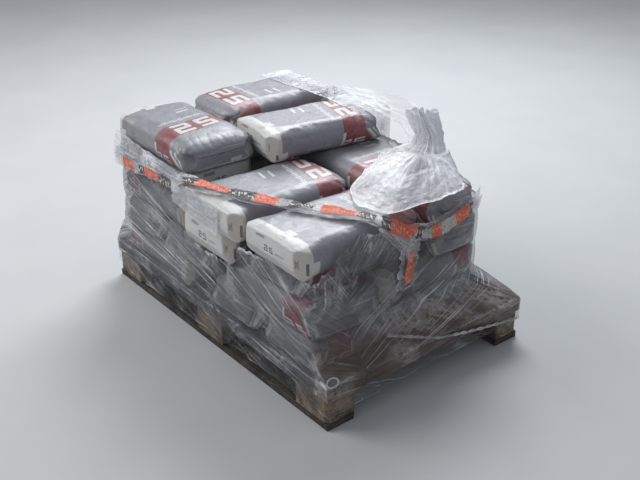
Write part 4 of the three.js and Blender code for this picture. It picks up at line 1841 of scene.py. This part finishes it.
    def thickness(self, side: Array, place: Array, top: Array) -> Array:
        """Where the film is doubled or bunched, from 0 to 1, plus painted glints along the near corner.

        Args:
            side: Side number of each column.
            place: Points of the film.
            top: Heights of the torn edge.

        Returns:
            The thickness.
        """
        x, y, z = (place[..., k] for k in range(3))
        torn = 0.75 * ease(top - z, 0.016, 0.0)
        fold = 0.5 * np.exp(-(((z - self.knee) / 0.004) ** 2))
        upright = joined(x, y, z * 0.06 + 0.15 * y)
        pleats = ridges(upright, 0.016, 41) ** 3
        near = ease(y, -0.16, -0.24) * ease(z, 0.33, 0.40) * ((side == 2) | (side == 1))
        crumple = self.bell(place, (0.575, 0.31, 0.19), (0.05, 0.035, 0.03))
        wad = self.bell(place, (0.53, 0.225, 0.27), (0.05, 0.03, 0.03))
        bands = 0.25 * ease(noise(place * np.array([1, 1, 2.5]), 0.16, 71), 0.1, 0.6)
        # Painted glints: brighter crumpled spots along the near corner, carried by the thickness.
        edge = self.bell(place[..., :2], (0.56, -0.40), (0.04, 0.03)) * ease(z, 0.42, 0.34)
        glint = 0.8 * ridges(place * np.array([1.0, 1.0, 0.6]), 0.03, 47) ** 2 * edge
        bumps = 0.45 * ridges(place, 0.02, 43) * (crumple + 1.6 * wad)
        gathered = 0.35 * ridges(upright, 0.03, 49) * (side == 3) * ease(z, 0.30, 0.44)
        return np.clip(torn + fold + pleats * near + 0.4 * bands + bumps + glint + gathered, 0.0, 1.0)

    def build(self, film: Material) -> Piece:
        """Makes the skirt, with the pull between layers, the slope's sag, its folds and its torn edge.

        Args:
            film: The film's material.

        Returns:
            The skirt.
        """
        side, share = self.columns()
        mid_x, mid_y = self.place(side, share, np.full(side.shape, 0.3))
        way = np.concatenate([[0.0], np.cumsum(np.hypot(np.diff(mid_x), np.diff(mid_y)))])
        ragged = joined(mid_x, mid_y, 0.0)
        top = self.top(side, mid_x, mid_y)
        top = top + 0.006 * noise(ragged, 0.03, 5) + 0.004 * noise(ragged, 0.011, 6)
        t = np.linspace(0.0, 1.0, self.rows)[:, None]
        z = self.foot + (top - self.foot) * t
        x, y = self.place(side, share, z)
        step_x = np.roll(x, -1, 1) - np.roll(x, 1, 1)
        step_y = np.roll(y, -1, 1) - np.roll(y, 1, 1)
        out = unit(joined(step_y, -step_x))
        layer = (z - self.first_layer) / self.pitch
        seam = (1.0 - np.abs(np.sin(np.pi * layer))) ** 2 * ease(z, 0.2, 0.26)
        slope = ease(z, self.knee, 0.2) * ease(z, 0.27, 0.22)
        thick = self.thickness(side, joined(x, y, z), top)
        across, along = self.pull(way[None, :] + 0 * z, z)
        lines = ridges(joined(across * 0.035, along * 0.12, 0 * z), 0.1, 21) - 0.45
        waves = noise(joined(x, y, z), 0.07, 33)
        free = ease(z, self.knee, 0.2)
        push = (0.0024 * lines + 0.0016 * waves) * (0.3 + 0.7 * free) + 0.004 * (thick - 0.3) * free
        push = push - np.where(side < 1, 0.003, 0.006) * seam - 0.007 * slope * ((side > 1) & (side < 6))
        x, y = x + out[..., 0] * push, y + out[..., 1] * push
        u = np.broadcast_to(np.append(way, way[-1] + 0.01), (self.rows, len(way) + 1))
        v = np.concatenate([z, z[:, :1]], 1)
        pull = tuple(np.concatenate([m, m[:, -1:]], 1) for m in (across, along))
        mesh = GridMesh("film_skirt_sheet", joined(x, y, z), True, u, v, thick=thick, pull=pull)
        declared = Declared("film_skirt", (3.9, 0.42), "stretched", ("deck_board_1", "sack_2_front_middle"))
        return declared.finish(mesh.build([film]))


@dataclass
class FilmHem:
    """The last turn of film, hanging limp below the deck's edge in front of the blocks."""

    half_x: float = 0.6025
    half_y: float = 0.4025
    top: float = 0.0997
    front: Table = (
        (-0.594, 0.060), (-0.52, 0.048), (-0.427, 0.042), (-0.307, 0.043), (-0.22, 0.049),
        (-0.072, 0.046), (0.11, 0.051), (0.25, 0.056), (0.397, 0.057), (0.52, 0.052),
        (0.594, 0.053),
    )
    right: Table = (
        (-0.394, 0.050), (-0.2, 0.056), (-0.085, 0.060), (0.04, 0.068), (0.16, 0.066),
        (0.394, 0.071),
    )
    counts: tuple[int, ...] = (260, 170, 130, 90)
    rows: int = 12

    def build(self, film: Material) -> Piece:
        """Makes the hem, its lower edge rolled and waved.

        Args:
            film: The film's material.

        Returns:
            The hem.
        """
        share = [(np.arange(n) + 0.5) / n * 2 - 1 for n in self.counts]
        hx, hy = self.half_x, self.half_y
        x = np.concatenate([share[0] * hx, 0 * share[1] + hx, -share[2] * hx, 0 * share[3] - hx])
        y = np.concatenate([0 * share[0] - hy, share[1] * hy, 0 * share[2] + hy, -share[3] * hy])
        side = np.concatenate([np.full(n, i) for i, n in enumerate(self.counts)])
        rest = [read(self.front, x), read(self.right, y), 0 * x + 0.068, 0 * x + 0.0645]
        low = np.select([side == i for i in range(4)], rest)
        ragged = joined(x, y, 0.0)
        low = low + 0.0025 * noise(ragged, 0.045, 3) + 0.0012 * noise(ragged, 0.012, 4)
        t = np.linspace(0.0, 1.0, self.rows)[:, None]
        z = low + (self.top - low) * t
        out_x = np.where(side % 2 == 1, np.sign(x), 0.0)
        out_y = np.where(side % 2 == 0, np.sign(y), 0.0)
        limp = joined(x, y, z * 0.5 + 0.3 * (x + y))
        push = (1.0 - t) * (0.0035 * noise(limp, 0.06, 8) + 0.0015 * noise(limp, 0.02, 9))
        push = push + 0.0015 * (1.0 - t) ** 4
        points = joined(x + out_x * push, y + out_y * push, z)
        edge = 0.6 * ease(z - low, 0.004, 0.0) + 0.3 * ridges(limp, 0.03, 17) ** 3
        thick = np.clip(edge, 0.0, 1.0)
        sheet = FilmSheet("film_hem_sheet", points, thick, 16.0, 120.0)
        rests_on = ("deck_board_1", "deck_board_5")
        return Declared("film_hem", (3.95, 0.045), "hung", rests_on).finish(sheet.build(film))


@dataclass(frozen=True)
class BandPath:
    """A path with the way its outside faces, read at even distances."""

    table: Table

    def frames(self, count: int) -> tuple[Array, Array, Array, Array]:
        """Distance, place, outward and across at even distances along the path.

        Args:
            count: How many places.

        Returns:
            Distances, places, outward and across vectors.
        """
        path = np.array(self.table)
        at = distances(path[:, :3])
        s = np.linspace(0.0, at[-1], count)
        values = smoothed(np.stack([np.interp(s, at, column) for column in path.T], -1), 9)
        along = unit(np.gradient(values[:, :3], axis=0))
        out = unit(values[:, 3:])
        across = unit(np.cross(out, along))
        return s, values[:, :3], out, across


COLLAR = BandPath(
    (
        (-0.5537, -0.27, 0.5, -1.0, 0.0, 0.0), (-0.5537, -0.33, 0.497, -1.0, 0.0, 0.0),
        (-0.5537, -0.347, 0.4965, -1.0, 0.0, 0.0), (-0.5485, -0.3758, 0.4955, -0.906, -0.423, 0.0),
        (-0.531, -0.3993, 0.495, -0.643, -0.766, 0.0),
        (-0.5047, -0.413, 0.495, -0.259, -0.966, 0.0), (-0.48, -0.4146, 0.495, 0.0, -1.0, 0.0),
        (-0.38, -0.4138, 0.5, 0.0, -1.0, 0.0), (-0.227, -0.4138, 0.512, 0.0, -1.0, 0.0),
        (-0.15, -0.414, 0.508, 0.0, -1.0, 0.0), (-0.1, -0.418, 0.52, 0.0, -1.0, 0.1),
        (-0.066, -0.424, 0.542, 0.0, -0.75, 0.66), (-0.025, -0.42, 0.5575, 0.0, -0.2, 0.98),
        (0.06, -0.395, 0.557, 0.0, 0.0, 1.0), (0.17, -0.35, 0.557, 0.0, 0.0, 1.0),
        (0.28, -0.302, 0.557, 0.0, 0.0, 1.0), (0.4, -0.235, 0.557, 0.0, 0.0, 1.0),
        (0.48, -0.19, 0.557, 0.0, 0.0, 1.0), (0.525, -0.165, 0.556, 0.4, 0.0, 0.92),
        (0.545, -0.14, 0.545, 0.85, 0.0, 0.53), (0.5485, -0.095, 0.517, 1.0, 0.0, 0.0),
        (0.5485, 0.0, 0.48, 1.0, 0.0, 0.0), (0.5485, 0.05, 0.4825, 1.0, 0.0, 0.0),
        (0.5477, 0.075, 0.484, 0.99, 0.14, 0.0), (0.5342, 0.165, 0.497, 0.989, 0.146, 0.0),
        (0.5296, 0.197, 0.501, 0.989, 0.146, 0.0), (0.5252, 0.2212, 0.5035, 0.98, 0.196, 0.0),
        (0.5199, 0.2409, 0.505, 0.953, 0.303, 0.0), (0.5092, 0.2669, 0.506, 0.876, 0.482, 0.0),
        (0.4945, 0.2875, 0.507, 0.724, 0.69, 0.0),
    )
)


@dataclass
class FilmCollar:
    """The bunched, torn top edge of the film: a gathered sheet along its path, in long folds."""

    path: BandPath = COLLAR
    half_width: float = 0.023
    rows: int = 30
    columns: int = 620

    def build(self, film: Material) -> Piece:
        """Makes the collar.

        Its width grows and shrinks slowly along it, and its height above the path is a sum of waves
        across it whose phase wanders along it.

        Args:
            film: The film's material.

        Returns:
            The collar.
        """
        s, p, out, across = self.path.frames(self.columns)
        w = np.linspace(-1.0, 1.0, self.rows)[:, None]
        line = joined(s, 0.0, 0.0)
        varied = 1.0 + 0.28 * noise(line, 0.11, 3) + 0.14 * noise(line, 0.03, 4)
        width = self.half_width * varied
        shift = 0.007 * noise(line, 0.09, 9)
        drift = 3.0 * noise(line, 0.16, 5)
        fold = joined(s * 0.35, w * width * 2.2, drift * 0.01)
        height = 0.0075 * (ridges(fold, 0.03, 12) - 0.45) + 0.0022 * noise(fold, 0.009, 14)
        height = (height + 0.002 * (1.0 - w**2)) * ease(s, 0.02, 0.2)
        height = height * ease(s, s[-1], s[-1] - 0.12)
        place = p + across * (w * width + shift)[..., None] + out * height[..., None]
        torn = ease(np.abs(w), 0.82, 1.0) + 0 * s
        bunch = ridges(fold, 0.018, 31)
        patches = ease(noise(fold * np.array([1.0, 0.4, 1.0]), 0.05, 33), -0.2, 0.5)
        thick = np.clip(0.08 + 0.6 * bunch * patches + 0.3 * torn, 0.0, 1.0)
        piece = FilmSheet("film_collar_sheet", place, thick, 4.0, 150.0).build(film)
        rests_on = ("sack_4_front_left", "sack_4_front_middle", "sack_4_front_right")
        return Declared("film_collar", (2.05, 0.064), "gathered", rests_on).finish(piece)


@dataclass
class PrintedTape:
    """The printed tape stuck along the collar, creased with it, and its loose end."""

    path: BandPath = COLLAR
    half_width: float = 0.0205
    lift: float = 0.0105
    start: float = 0.035
    stop: float = 0.035
    columns: int = 560
    rows: int = 14
    tail_top: float = 0.462
    tail_length: float = 0.142
    tail_half: float = 0.0165
    # Where the tail hangs: its x, its y at the top and how far it swings aside.
    tail_at: tuple[float, float, float] = (0.549, -0.052, 0.010)
    # Lengths of orange and of black from the tape's start, in metres.
    orange: Table = (
        (0.185, 0.255), (0.327, 0.418), (0.646, 0.768), (0.857, 0.930), (1.061, 1.168),
        (1.264, 1.367), (1.435, 1.476), (1.541, 1.610), (1.70, 1.78),
    )
    black: Table = (
        (0.290, 0.327), (0.418, 0.500), (0.576, 0.646), (0.768, 0.857), (0.969, 1.040),
        (1.171, 1.221), (1.238, 1.264), (1.367, 1.400), (1.610, 1.625), (1.80, 1.84),
    )

    def build(self, finish: TapeFinish) -> Piece:
        """Makes the tape.

        Args:
            finish: The tape's finish.

        Returns:
            The tape.
        """
        s, p, out, across = self.path.frames(self.columns)
        inside = (s > self.start) & (s < s[-1] - self.stop)
        s, p, out, across = s[inside], p[inside], out[inside], across[inside]
        w = np.linspace(-1.0, 1.0, self.rows)[:, None]
        line = joined(s, 0.0, 0.0)
        shift = 0.006 * noise(line, 0.08, 51)
        roll = 0.5 * noise(line, 0.07, 52)
        width = self.half_width * (1.0 - 0.35 * ease(noise(line, 0.05, 53), 0.1, 0.7))
        fold = joined(s, w * width, 0.0)
        crease = 0.0018 * noise(fold, 0.014, 55) + 0.001 * noise(fold, 0.005, 56)
        height = self.lift + crease + 0.35 * w * width * roll
        place = p + across * (w * width + shift)[..., None] + out * np.maximum(height, 0.004)[..., None]
        v = w * width
        u = np.broadcast_to(s - s[0], v.shape)
        material = finish.material("tape_round", self.orange, self.black)
        piece = GridMesh("printed_tape_sheet", place, u=u, v=v).build([material])
        declared = Declared("printed_tape", (1.98, 0.032), "stretched", ("film_collar_sheet",))
        return declared.finish(piece, "printed_tape")

    def tail(self, finish: TapeFinish) -> Piece:
        """Makes the loose end, hanging down the right side.

        Args:
            finish: The tape's finish.

        Returns:
            The tail.
        """
        t = np.linspace(0.0, 1.0, 60)[:, None]
        w = np.linspace(-1.0, 1.0, self.rows)[None, :]
        x, y, aside = self.tail_at
        z = self.tail_top - self.tail_length * t
        y = y - aside * t
        fold = joined(0.0, w * 0.016, z)
        crease = 0.003 * noise(fold, 0.02, 61) + 0.0012 * noise(fold, 0.007, 62)
        x = x + crease + 0.003 * w**2
        half = self.tail_half * (1.0 + 0.12 * noise(fold * np.array([0.0, 0.0, 1.0]), 0.03, 63))
        place = joined(x, y + w * half, z + 0.003 * w)
        material = finish.material("tape_end", ((0.02, 0.125),), ((-0.01, 0.006), (0.127, 0.139)))
        u = self.tail_length * t + 0 * w
        piece = GridMesh("tape_tail_sheet", place, u=u, v=w * half).build([material])
        declared = Declared("tape_tail", (0.145, 0.034), "hung", ("film_skirt_sheet",))
        return declared.finish(piece, "printed_tape")


@dataclass(frozen=True)
class RuledPlan:
    """A pulled sheet between two bent lines: its film, least thickness, sag and how it is held."""

    name: str
    first: Table
    second: Table
    film: Film = Film.BUNCHED
    thick: float = 0.0
    sag: float = 0.0
    held: str = "hung"
    rests_on: tuple[str, ...] = ("film_collar_sheet",)


RULED = (
    RuledPlan(
        "film_web",
        ((-0.12, 0.300, 0.655), (0.04, 0.275, 0.653), (0.17, 0.25, 0.645), (0.285, 0.198, 0.632)),
        ((-0.24, 0.352, 0.657), (-0.06, 0.345, 0.684), (0.14, 0.285, 0.722), (0.35, 0.222, 0.733)),
        Film.MILKY,
        0.1,
        0.004,
        "stretched",
        ("film_heap_sheet", "film_back_sheet_drape"),
    ),
    RuledPlan(
        "film_veil_left",
        ((-0.525, -0.402, 0.585), (-0.30, -0.412, 0.575), (-0.10, -0.42, 0.566), (-0.04, -0.43, 0.563)),
        ((-0.530, -0.418, 0.50), (-0.30, -0.421, 0.512), (-0.11, -0.424, 0.525), (-0.06, -0.432, 0.545)),
        thick=0.22,
    ),
    RuledPlan(
        "film_veil_middle",
        ((-0.115, -0.440, 0.548), (0.03, -0.448, 0.552), (0.160, -0.446, 0.546)),
        ((-0.110, -0.438, 0.475), (0.03, -0.448, 0.462), (0.150, -0.446, 0.455)),
        Film.SMOOTH,
    ),
    RuledPlan(
        "film_flap",
        ((0.553, -0.189, 0.553), (0.559, -0.11, 0.518), (0.557, -0.026, 0.481)),
        ((0.556, -0.175, 0.530), (0.564, -0.062, 0.413), (0.560, -0.030, 0.44)),
        thick=0.3,
    ),
    RuledPlan(
        "film_tail_strip",
        ((0.547, -0.088, 0.462), (0.546, -0.092, 0.39), (0.547, -0.098, 0.318)),
        ((0.548, -0.018, 0.455), (0.547, -0.026, 0.39), (0.548, -0.032, 0.322)),
        thick=0.12,
    ),
)


@dataclass
class LooseFilm:
    """The loose film on top: the heap, the sheet over the rear sacks, the web between them and flaps."""

    peak: tuple[float, float] = (0.330, 0.205)
    foot: float = 0.5494
    knot: float = 0.45
    waist: float = 0.070
    broad: float = 0.892
    tip: float = 0.200
    heap_size: tuple[int, int] = (112, 270)
    back_ends: tuple[float, float] = (-0.548, 0.012)
    sheet_size: tuple[int, int] = (30, 120)
    # Down the tower: share of its fall, half its width, half its depth and its shift sideways.
    tower: Table = (
        (0.0, 0.052, 0.009, -0.018), (0.25, 0.049, 0.014, -0.006), (0.55, 0.042, 0.020, 0.010),
        (0.8, 0.046, 0.030, 0.008), (1.0, 0.064, 0.050, 0.0),
    )
    edge: Table = (
        (0.187, 0.144), (0.218, 0.074), (0.251, 0.012), (0.312, -0.085), (0.42, -0.135),
        (0.508, -0.105), (0.526, 0.0), (0.528, 0.1), (0.52, 0.182), (0.482, 0.216), (0.44, 0.25),
        (0.35, 0.29), (0.25, 0.296), (0.138, 0.286),
    )

    # The back sheet's path over the rear of the top sacks and down behind them, as Y and Z.
    back_profile: Table = (
        (0.222, 0.6505), (0.30, 0.6512), (0.340, 0.6500), (0.353, 0.640), (0.3555, 0.58),
        (0.3558, 0.52), (0.356, 0.472),
    )

    def heap(self, film: Material) -> Piece:
        """Makes the heap: rows run down its drawn-up tower and then out over its mound.

        The tower's section is a flat ellipse that narrows to a knot, the mound's radius runs from there
        to its edge, and ridged folds push both of them along and across the angle round the peak.

        Args:
            film: The film's material.

        Returns:
            The heap.
        """
        rows, cols = self.heap_size
        peak = np.array(self.peak)
        rim = np.array(self.edge) - peak
        order = np.argsort(np.arctan2(rim[:, 1], rim[:, 0]))
        rim = rim[order]
        angles = np.arctan2(rim[:, 1], rim[:, 0])
        turn = np.linspace(-np.pi, np.pi, cols, endpoint=False)
        far = np.interp(turn, angles, np.linalg.norm(rim, axis=-1), period=2 * np.pi)
        around = joined(np.cos(turn), np.sin(turn), 0.0)
        far = far * (1.0 + 0.05 * noise(around, 0.25, 3)) - 0.004
        down = np.linspace(0.0, 1.0, rows)[:, None]
        fall = np.clip(down / self.knot, 0.0, 1.0)
        share = np.clip((down - self.knot) / (1.0 - self.knot), 0.0, 1.0)
        wide, thin, shift = (read(self.tower, fall, column) for column in (1, 2, 3))
        own = turn - self.broad
        radius = wide * thin / np.hypot(thin * np.cos(own), wide * np.sin(own))
        radius = radius + (far - radius) * share
        x = peak[0] + shift * np.cos(self.broad) + radius * np.cos(turn)
        y = peak[1] + shift * np.sin(self.broad) + radius * np.sin(turn)
        tip = self.tip - 0.022 * np.clip(noise(around, 0.35, 63) + 0.3, 0.0, 1.0)
        swell = 1.0 + 0.25 * noise(around, 0.8, 65)
        mound = self.waist * (1.0 + (swell - 1.0) * ease(share, 0.0, 0.3)) * (1.0 - share**1.7)
        height = np.where(share > 0, mound, tip + (self.waist - tip) * fall**0.9)
        way = joined(np.cos(turn), np.sin(turn), 0.3 * down)
        skewed = way + 0.25 * joined(down * np.sin(3.0 * turn), down * np.cos(2.0 * turn), 0.0)
        facets = joined(x, y, 0.6 * height)
        fold = 0.72 * ridges(skewed, 0.40, 5) + 0.28 * ridges(facets, 0.10, 6) - 0.45
        fine = 0.7 * ridges(skewed, 0.15, 7) + 0.3 * ridges(facets, 0.045, 8) - 0.45
        spread = ease(share, 0.0, 0.3) * (1.0 - 0.45 * share)
        place = joined(x, y, height)
        crumple = noise(place, 0.03, 11) + 0.6 * noise(place, 0.012, 12)
        height = height + spread * (0.032 * fold + 0.011 * fine) + 0.0016 * crumple
        bend = (0.013 * fold + 0.008 * fine + 0.003 * crumple) * (1.0 - ease(share, 0.1, 0.5))
        x, y = x + bend * np.cos(turn), y + bend * np.sin(turn)
        curl = 0.006 * ease(share, 0.93, 1.0)
        z = self.foot + 0.004 + np.clip(height, 0.0, 0.198) + curl
        crest = np.clip(2.6 * (ridges(skewed, 0.10, 15) - 0.62), 0.0, 1.0)
        thick = 0.26 + 0.7 * np.clip(fold, 0.0, 1.0) + 0.5 * np.clip(fine, 0.0, 1.0) + 0.45 * crest
        thick = thick + 0.2 * ease(share, 0.25, 0.0) + 0.35 * ease(share, 0.965, 1.0)
        thick = thick + 0.3 * ease(down, 0.03, 0.0)
        bare = ease(noise(place, 0.07, 19), 0.0, 0.5)
        thick = np.clip(thick - 0.28 * bare, 0.05, 1.0)
        points = joined(x, y, z)
        u = np.broadcast_to(np.linspace(0.0, 1.2, cols + 1), (rows, cols + 1))
        v = np.broadcast_to(down * 0.40, (rows, cols + 1))
        pull = (u * 34.0, v * 6.0)
        mesh = GridMesh("film_heap_sheet", points, True, u, v, thick=thick, pull=pull)
        rests_on = ("sack_4_rear_middle", "sack_4_rear_right", "sack_4_front_right")
        return Declared("film_heap", (0.46, 0.43), "draped", rests_on).finish(mesh.build([film]))

    def back(self, film: Material) -> Piece:
        """Makes the sheet over the rear ends of the top sacks, with its fall behind them.

        Args:
            film: The film's material.

        Returns:
            The sheet.
        """
        x = np.linspace(*self.back_ends, 190)[None, :]
        profile = np.array(self.back_profile)
        steps = distances(profile)
        t = np.linspace(0.0, steps[-1], 56)
        y, z = (np.interp(t, steps, column)[:, None] for column in profile.T)
        fold = ridges(joined(x, 0.3 * (y - z), 0.0), 0.05, 23) - 0.45
        wave = noise(joined(x, y, z), 0.06, 25)
        down = ease(t, 0.10, 0.16)[:, None]
        lift = 0.004 * fold + 0.002 * wave
        ends = 0.010 * noise(joined(x, 0.0, 0 * y), 0.07, 27)
        rim = ease(t, 0.06, 0.0)[:, None]
        y = y + down * np.maximum(lift + 0.001, -0.001) + ends * rim
        z = z + (1.0 - down) * np.maximum(lift + 0.002, 0.0) + ends * ease(t, 0.24, steps[-1])[:, None]
        thick = 0.04 + 0.6 * np.clip(fold, 0.0, 1.0) + 0.5 * ease(t, 0.008, 0.0)[:, None]
        points = joined(x, y, z)
        sheet = FilmSheet("film_back_sheet_drape", points, np.clip(thick, 0.0, 1.0), 76.0, 70.0)
        rests_on = ("sack_5_rear_left", "sack_5_rear_middle")
        return Declared("film_back_sheet", (0.56, 0.31), "draped", rests_on).finish(sheet.build(film))

    def ruled(self, plan: RuledPlan, film: Material) -> Piece:
        """Makes a pulled sheet between two bent lines, with folds along them.

        Args:
            plan: Its lines, and how it is held.
            film: The film's material.

        Returns:
            The sheet.
        """
        rows, cols = self.sheet_size
        t = np.linspace(0.0, 1.0, cols)
        lines = []
        for line in (plan.first, plan.second):
            knots = np.linspace(0.0, 1.0, len(line))
            lines.append(np.stack([np.interp(t, knots, column) for column in np.array(line).T], -1))
        v = np.linspace(0.0, 1.0, rows)[:, None]
        points = lines[0][None] * (1.0 - v[..., None]) + lines[1][None] * v[..., None]
        wide = float(np.linalg.norm(lines[1] - lines[0], axis=-1).mean())
        long = float(np.mean([np.linalg.norm(np.diff(line, axis=0), axis=-1).sum() for line in lines]))
        cells = np.cross(np.diff(points[:-1], axis=1), np.diff(points[:, :-1], axis=0))
        area = min(float(np.linalg.norm(cells, axis=-1).sum()), wide * long)
        flat = joined(t * 0.12, v * 0.16, 0.1 * len(plan.name))
        fold = ridges(flat, 0.025, 31) - 0.45
        along = unit(np.gradient(points, axis=1))
        over = unit(np.gradient(points, axis=0))
        out = unit(np.cross(along, over))
        low = joined(0.0, 0 * t, -plan.sag * np.sin(np.pi * v))
        ragged = 0.006 * noise(flat * np.array([4.0, 0.0, 1.0]), 0.03, 35)
        margin = (np.abs(2 * v - 1.0) ** 6 * ragged)[..., None] * over
        height = 0.006 * fold + 0.0014 * noise(flat, 0.013, 37)
        points = points + out * height[..., None] + low + margin
        rim = ease(np.abs(2 * v - 1.0), 0.9, 1.0)
        body = np.clip(plan.thick + 0.6 * np.clip(fold, 0.0, 1.0) + 0.35 * rim, 0.0, 1.0)
        piece = FilmSheet(plan.name, points, body, pull_fine=80.0).build(film)
        return Declared(None, (wide, long), plan.held, plan.rests_on, area).finish(piece)


@dataclass
class FilmRope:
    """The twisted lower edge: two thin strands of film wound round each other."""

    path: Table = (
        (0.6094, 0.386, 0.080), (0.6094, 0.290, 0.094), (0.6094, 0.160, 0.117),
        (0.6096, 0.060, 0.139), (0.6078, 0.010, 0.152), (0.5928, -0.080, 0.184),
        (0.577, -0.165, 0.214),
    )
    strand: float = 0.0026
    gap: float = 0.0026
    pitch: float = 0.075
    sides: int = 8

    def build(self, film: Material) -> list[Piece]:
        """Makes the two strands as closed tubes.

        Args:
            film: The film's material.

        Returns:
            The strands.
        """
        knots = np.array(self.path)
        steps = distances(knots)
        s = np.linspace(0.0, steps[-1], 200)
        p = smoothed(np.stack([np.interp(s, steps, column) for column in knots.T], -1), 17)
        along = unit(np.gradient(p, axis=0))
        side = unit(np.cross(along, np.array([1.0, 0.0, 0.0])))
        out = np.cross(side, along)
        pieces = []
        for number, start in enumerate((0.0, np.pi)):
            turn = 2 * np.pi * s / self.pitch + start
            middle = p + self.gap * (side * np.cos(turn)[:, None] + out * np.sin(turn)[:, None])
            a = np.linspace(0.0, 2 * np.pi, self.sides, endpoint=False)
            wide = self.strand * (1.0 + 0.4 * noise(p, 0.03, 5 + number))
            ring = side[:, None] * np.cos(a)[None, :, None] + out[:, None] * np.sin(a)[None, :, None]
            points = middle[:, None] + ring * wide[:, None, None]
            u, v = np.meshgrid(np.linspace(0.0, 0.02, self.sides + 1), s)
            thick = np.full(points.shape[:2], 0.35)
            name = f"film_rope_strand_{number + 1}"
            pull = (u * 300.0, v)
            piece = GridMesh(name, points, True, u, v, True, thick=thick, pull=pull).build([film])
            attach(piece, BODY)
            if number == 0:
                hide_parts("film_rope")
            pieces.append(piece)
        return pieces


# Studio


@dataclass
class Studio:
    """Floor, light and camera."""

    position: tuple[float, float, float] = (2.2243, -1.7357, 1.6463)
    yaw: float = 141.12
    pitch: float = -26.42
    lens: float = 52.43
    sensor: float = 36.0
    floor_size: float = 24.0
    floor_below: float = 0.0005
    aim: tuple[float, float, float] = (0.0, 0.0, 0.35)
    lamp_size: float = 2.4
    key: tuple[float, float, float] = (-2.2, -2.6, 3.4)
    sheen: tuple[float, float, float] = (-1.9, 2.2, 3.4)
    sky: Colour = (0.88, 0.93, 1.0, 1.0)
    sky_strength: float = 0.42

    def floor(self) -> Piece:
        """A plain pale floor, a hair below the pallet's underside.

        Returns:
            The floor.
        """
        half = self.floor_size / 2
        side = np.linspace(-half, half, 3)
        points = joined(side, side[:, None], -self.floor_below)
        material, b, shader = new_material("pale_floor")
        place = b.place()
        cloud = b.noise(place, 2.2, 5.0)
        b.give(shader, Base_Color=b.blend(cloud, shade(176, 178, 180), shade(190, 191, 192)), Roughness=0.75)
        piece = GridMesh("floor", points).build([material])
        return piece

    def lamp(self, name: str, place: tuple[float, float, float], power: float, tint: Colour) -> None:
        """A soft square light that looks at the middle of the load.

        Args:
            name: The light's name.
            place: Where it hangs.
            power: Its power in watts.
            tint: Its colour.
        """
        data = bpy.data.lights.new(name, "AREA")
        data.size = self.lamp_size
        data.energy = power
        data.color = tint[:3]
        lamp = bpy.data.objects.new(name, data)
        lamp.location = place
        ahead = Vector(self.aim) - Vector(place)
        lamp.rotation_euler = ahead.to_track_quat("-Z", "Y").to_euler()
        bpy.context.scene.collection.objects.link(lamp)

    def camera(self) -> None:
        """The camera, at the photograph's place and angle."""
        data = bpy.data.cameras.new("camera")
        data.lens = self.lens
        data.sensor_width = self.sensor
        camera = bpy.data.objects.new("camera", data)
        camera.location = self.position
        yaw, pitch = math.radians(self.yaw), math.radians(self.pitch)
        ahead = Vector((math.cos(pitch) * math.cos(yaw), math.cos(pitch) * math.sin(yaw), math.sin(pitch)))
        camera.rotation_euler = ahead.to_track_quat("-Z", "Y").to_euler()
        bpy.context.scene.collection.objects.link(camera)
        bpy.context.scene.camera = camera

    def build(self) -> None:
        """Sets out the floor, the lights, the sky and the camera."""
        self.floor()
        self.camera()
        self.lamp("key", self.key, 112.0, (1.0, 0.985, 0.96, 1.0))
        self.lamp("sheen", self.sheen, 170.0, (0.94, 0.97, 1.0, 1.0))
        world = bpy.data.worlds.new("studio")
        world.use_nodes = True
        ground = world.node_tree.nodes["Background"]
        ground.inputs[0].default_value = self.sky
        ground.inputs[1].default_value = self.sky_strength
        bpy.context.scene.world = world
        bpy.context.scene.view_settings.view_transform = "Standard"


def films() -> dict[Film, Material]:
    """Makes the films, each as hazy, cloudy, lined, creased and thick as it looks, the wound and limp films
    with painted shade tints.

    Returns:
        The material of each kind.
    """
    # The dark grey haze tint is painted shade over the load, and the brown one painted shade on the right
    # side.
    shade_grey, shade_brown, soft = shade(88, 89, 96), shade(96, 76, 62), shade(240, 242, 246)
    corner = {"shade_veil": 0.20, "hole": FilmSkirt.hole, "cleared": 0.6, "strands_right": 0.6}
    doubled = {"tint": soft, "shaded": soft, "roughness": 0.32, "specular": 0.5}
    # The wound and limp films take these painted shade tints.
    old = {"tint": shade_grey, "shaded": shade_brown, "crease": 0.1}
    looks = {
        Film.WOUND: StretchFilm(haze=0.33, cloudy=0.10, line=0.78, thick=0.55, **old, **corner),
        Film.BUNCHED: StretchFilm(haze=0.16, cloudy=0.16, line=0.4, crease=0.5, thick=0.62),
        Film.MILKY: StretchFilm(haze=0.26, cloudy=0.14, line=0.2, crease=0.25, thick=0.6, **doubled),
        Film.SMOOTH: StretchFilm(haze=0.36, cloudy=0.10, line=0.3, crease=0.0, thick=0.35, relief=0.001),
        Film.LIMP: StretchFilm(haze=0.05, cloudy=0.04, line=0.5, thick=0.5, **old),
    }
    return {kind: look.material(kind.value) for kind, look in looks.items()}


def main() -> None:
    logging.basicConfig(level=logging.INFO, format="%(message)s")
    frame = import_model()
    Effects.build_all()
    Studio().build()
    LOG.info("studio set")
    for piece in PalletWood().build(frame["nodes"]):
        LOG.info("wood %s", piece.name)
    for piece in SackLoad(SackPaper()).build():
        LOG.info("sack %s", piece.name)
    film = films()
    LOG.info("film %s", FilmSkirt().build(film[Film.WOUND]).name)
    LOG.info("film %s", FilmHem().build(film[Film.LIMP]).name)
    LOG.info("film %s", FilmCollar().build(film[Film.BUNCHED]).name)
    loose = LooseFilm()
    pieces = FilmRope().build(film[Film.BUNCHED])
    pieces += [loose.ruled(plan, film[plan.film]) for plan in RULED]
    pieces += [loose.heap(film[Film.MILKY]), loose.back(film[Film.BUNCHED])]
    for piece in pieces:
        LOG.info("film %s", piece.name)
    tape = PrintedTape()
    LOG.info("tape %s", tape.build(TapeFinish()).name)
    LOG.info("tape %s", tape.tail(TapeFinish()).name)


if __name__ == "__main__":
    main()
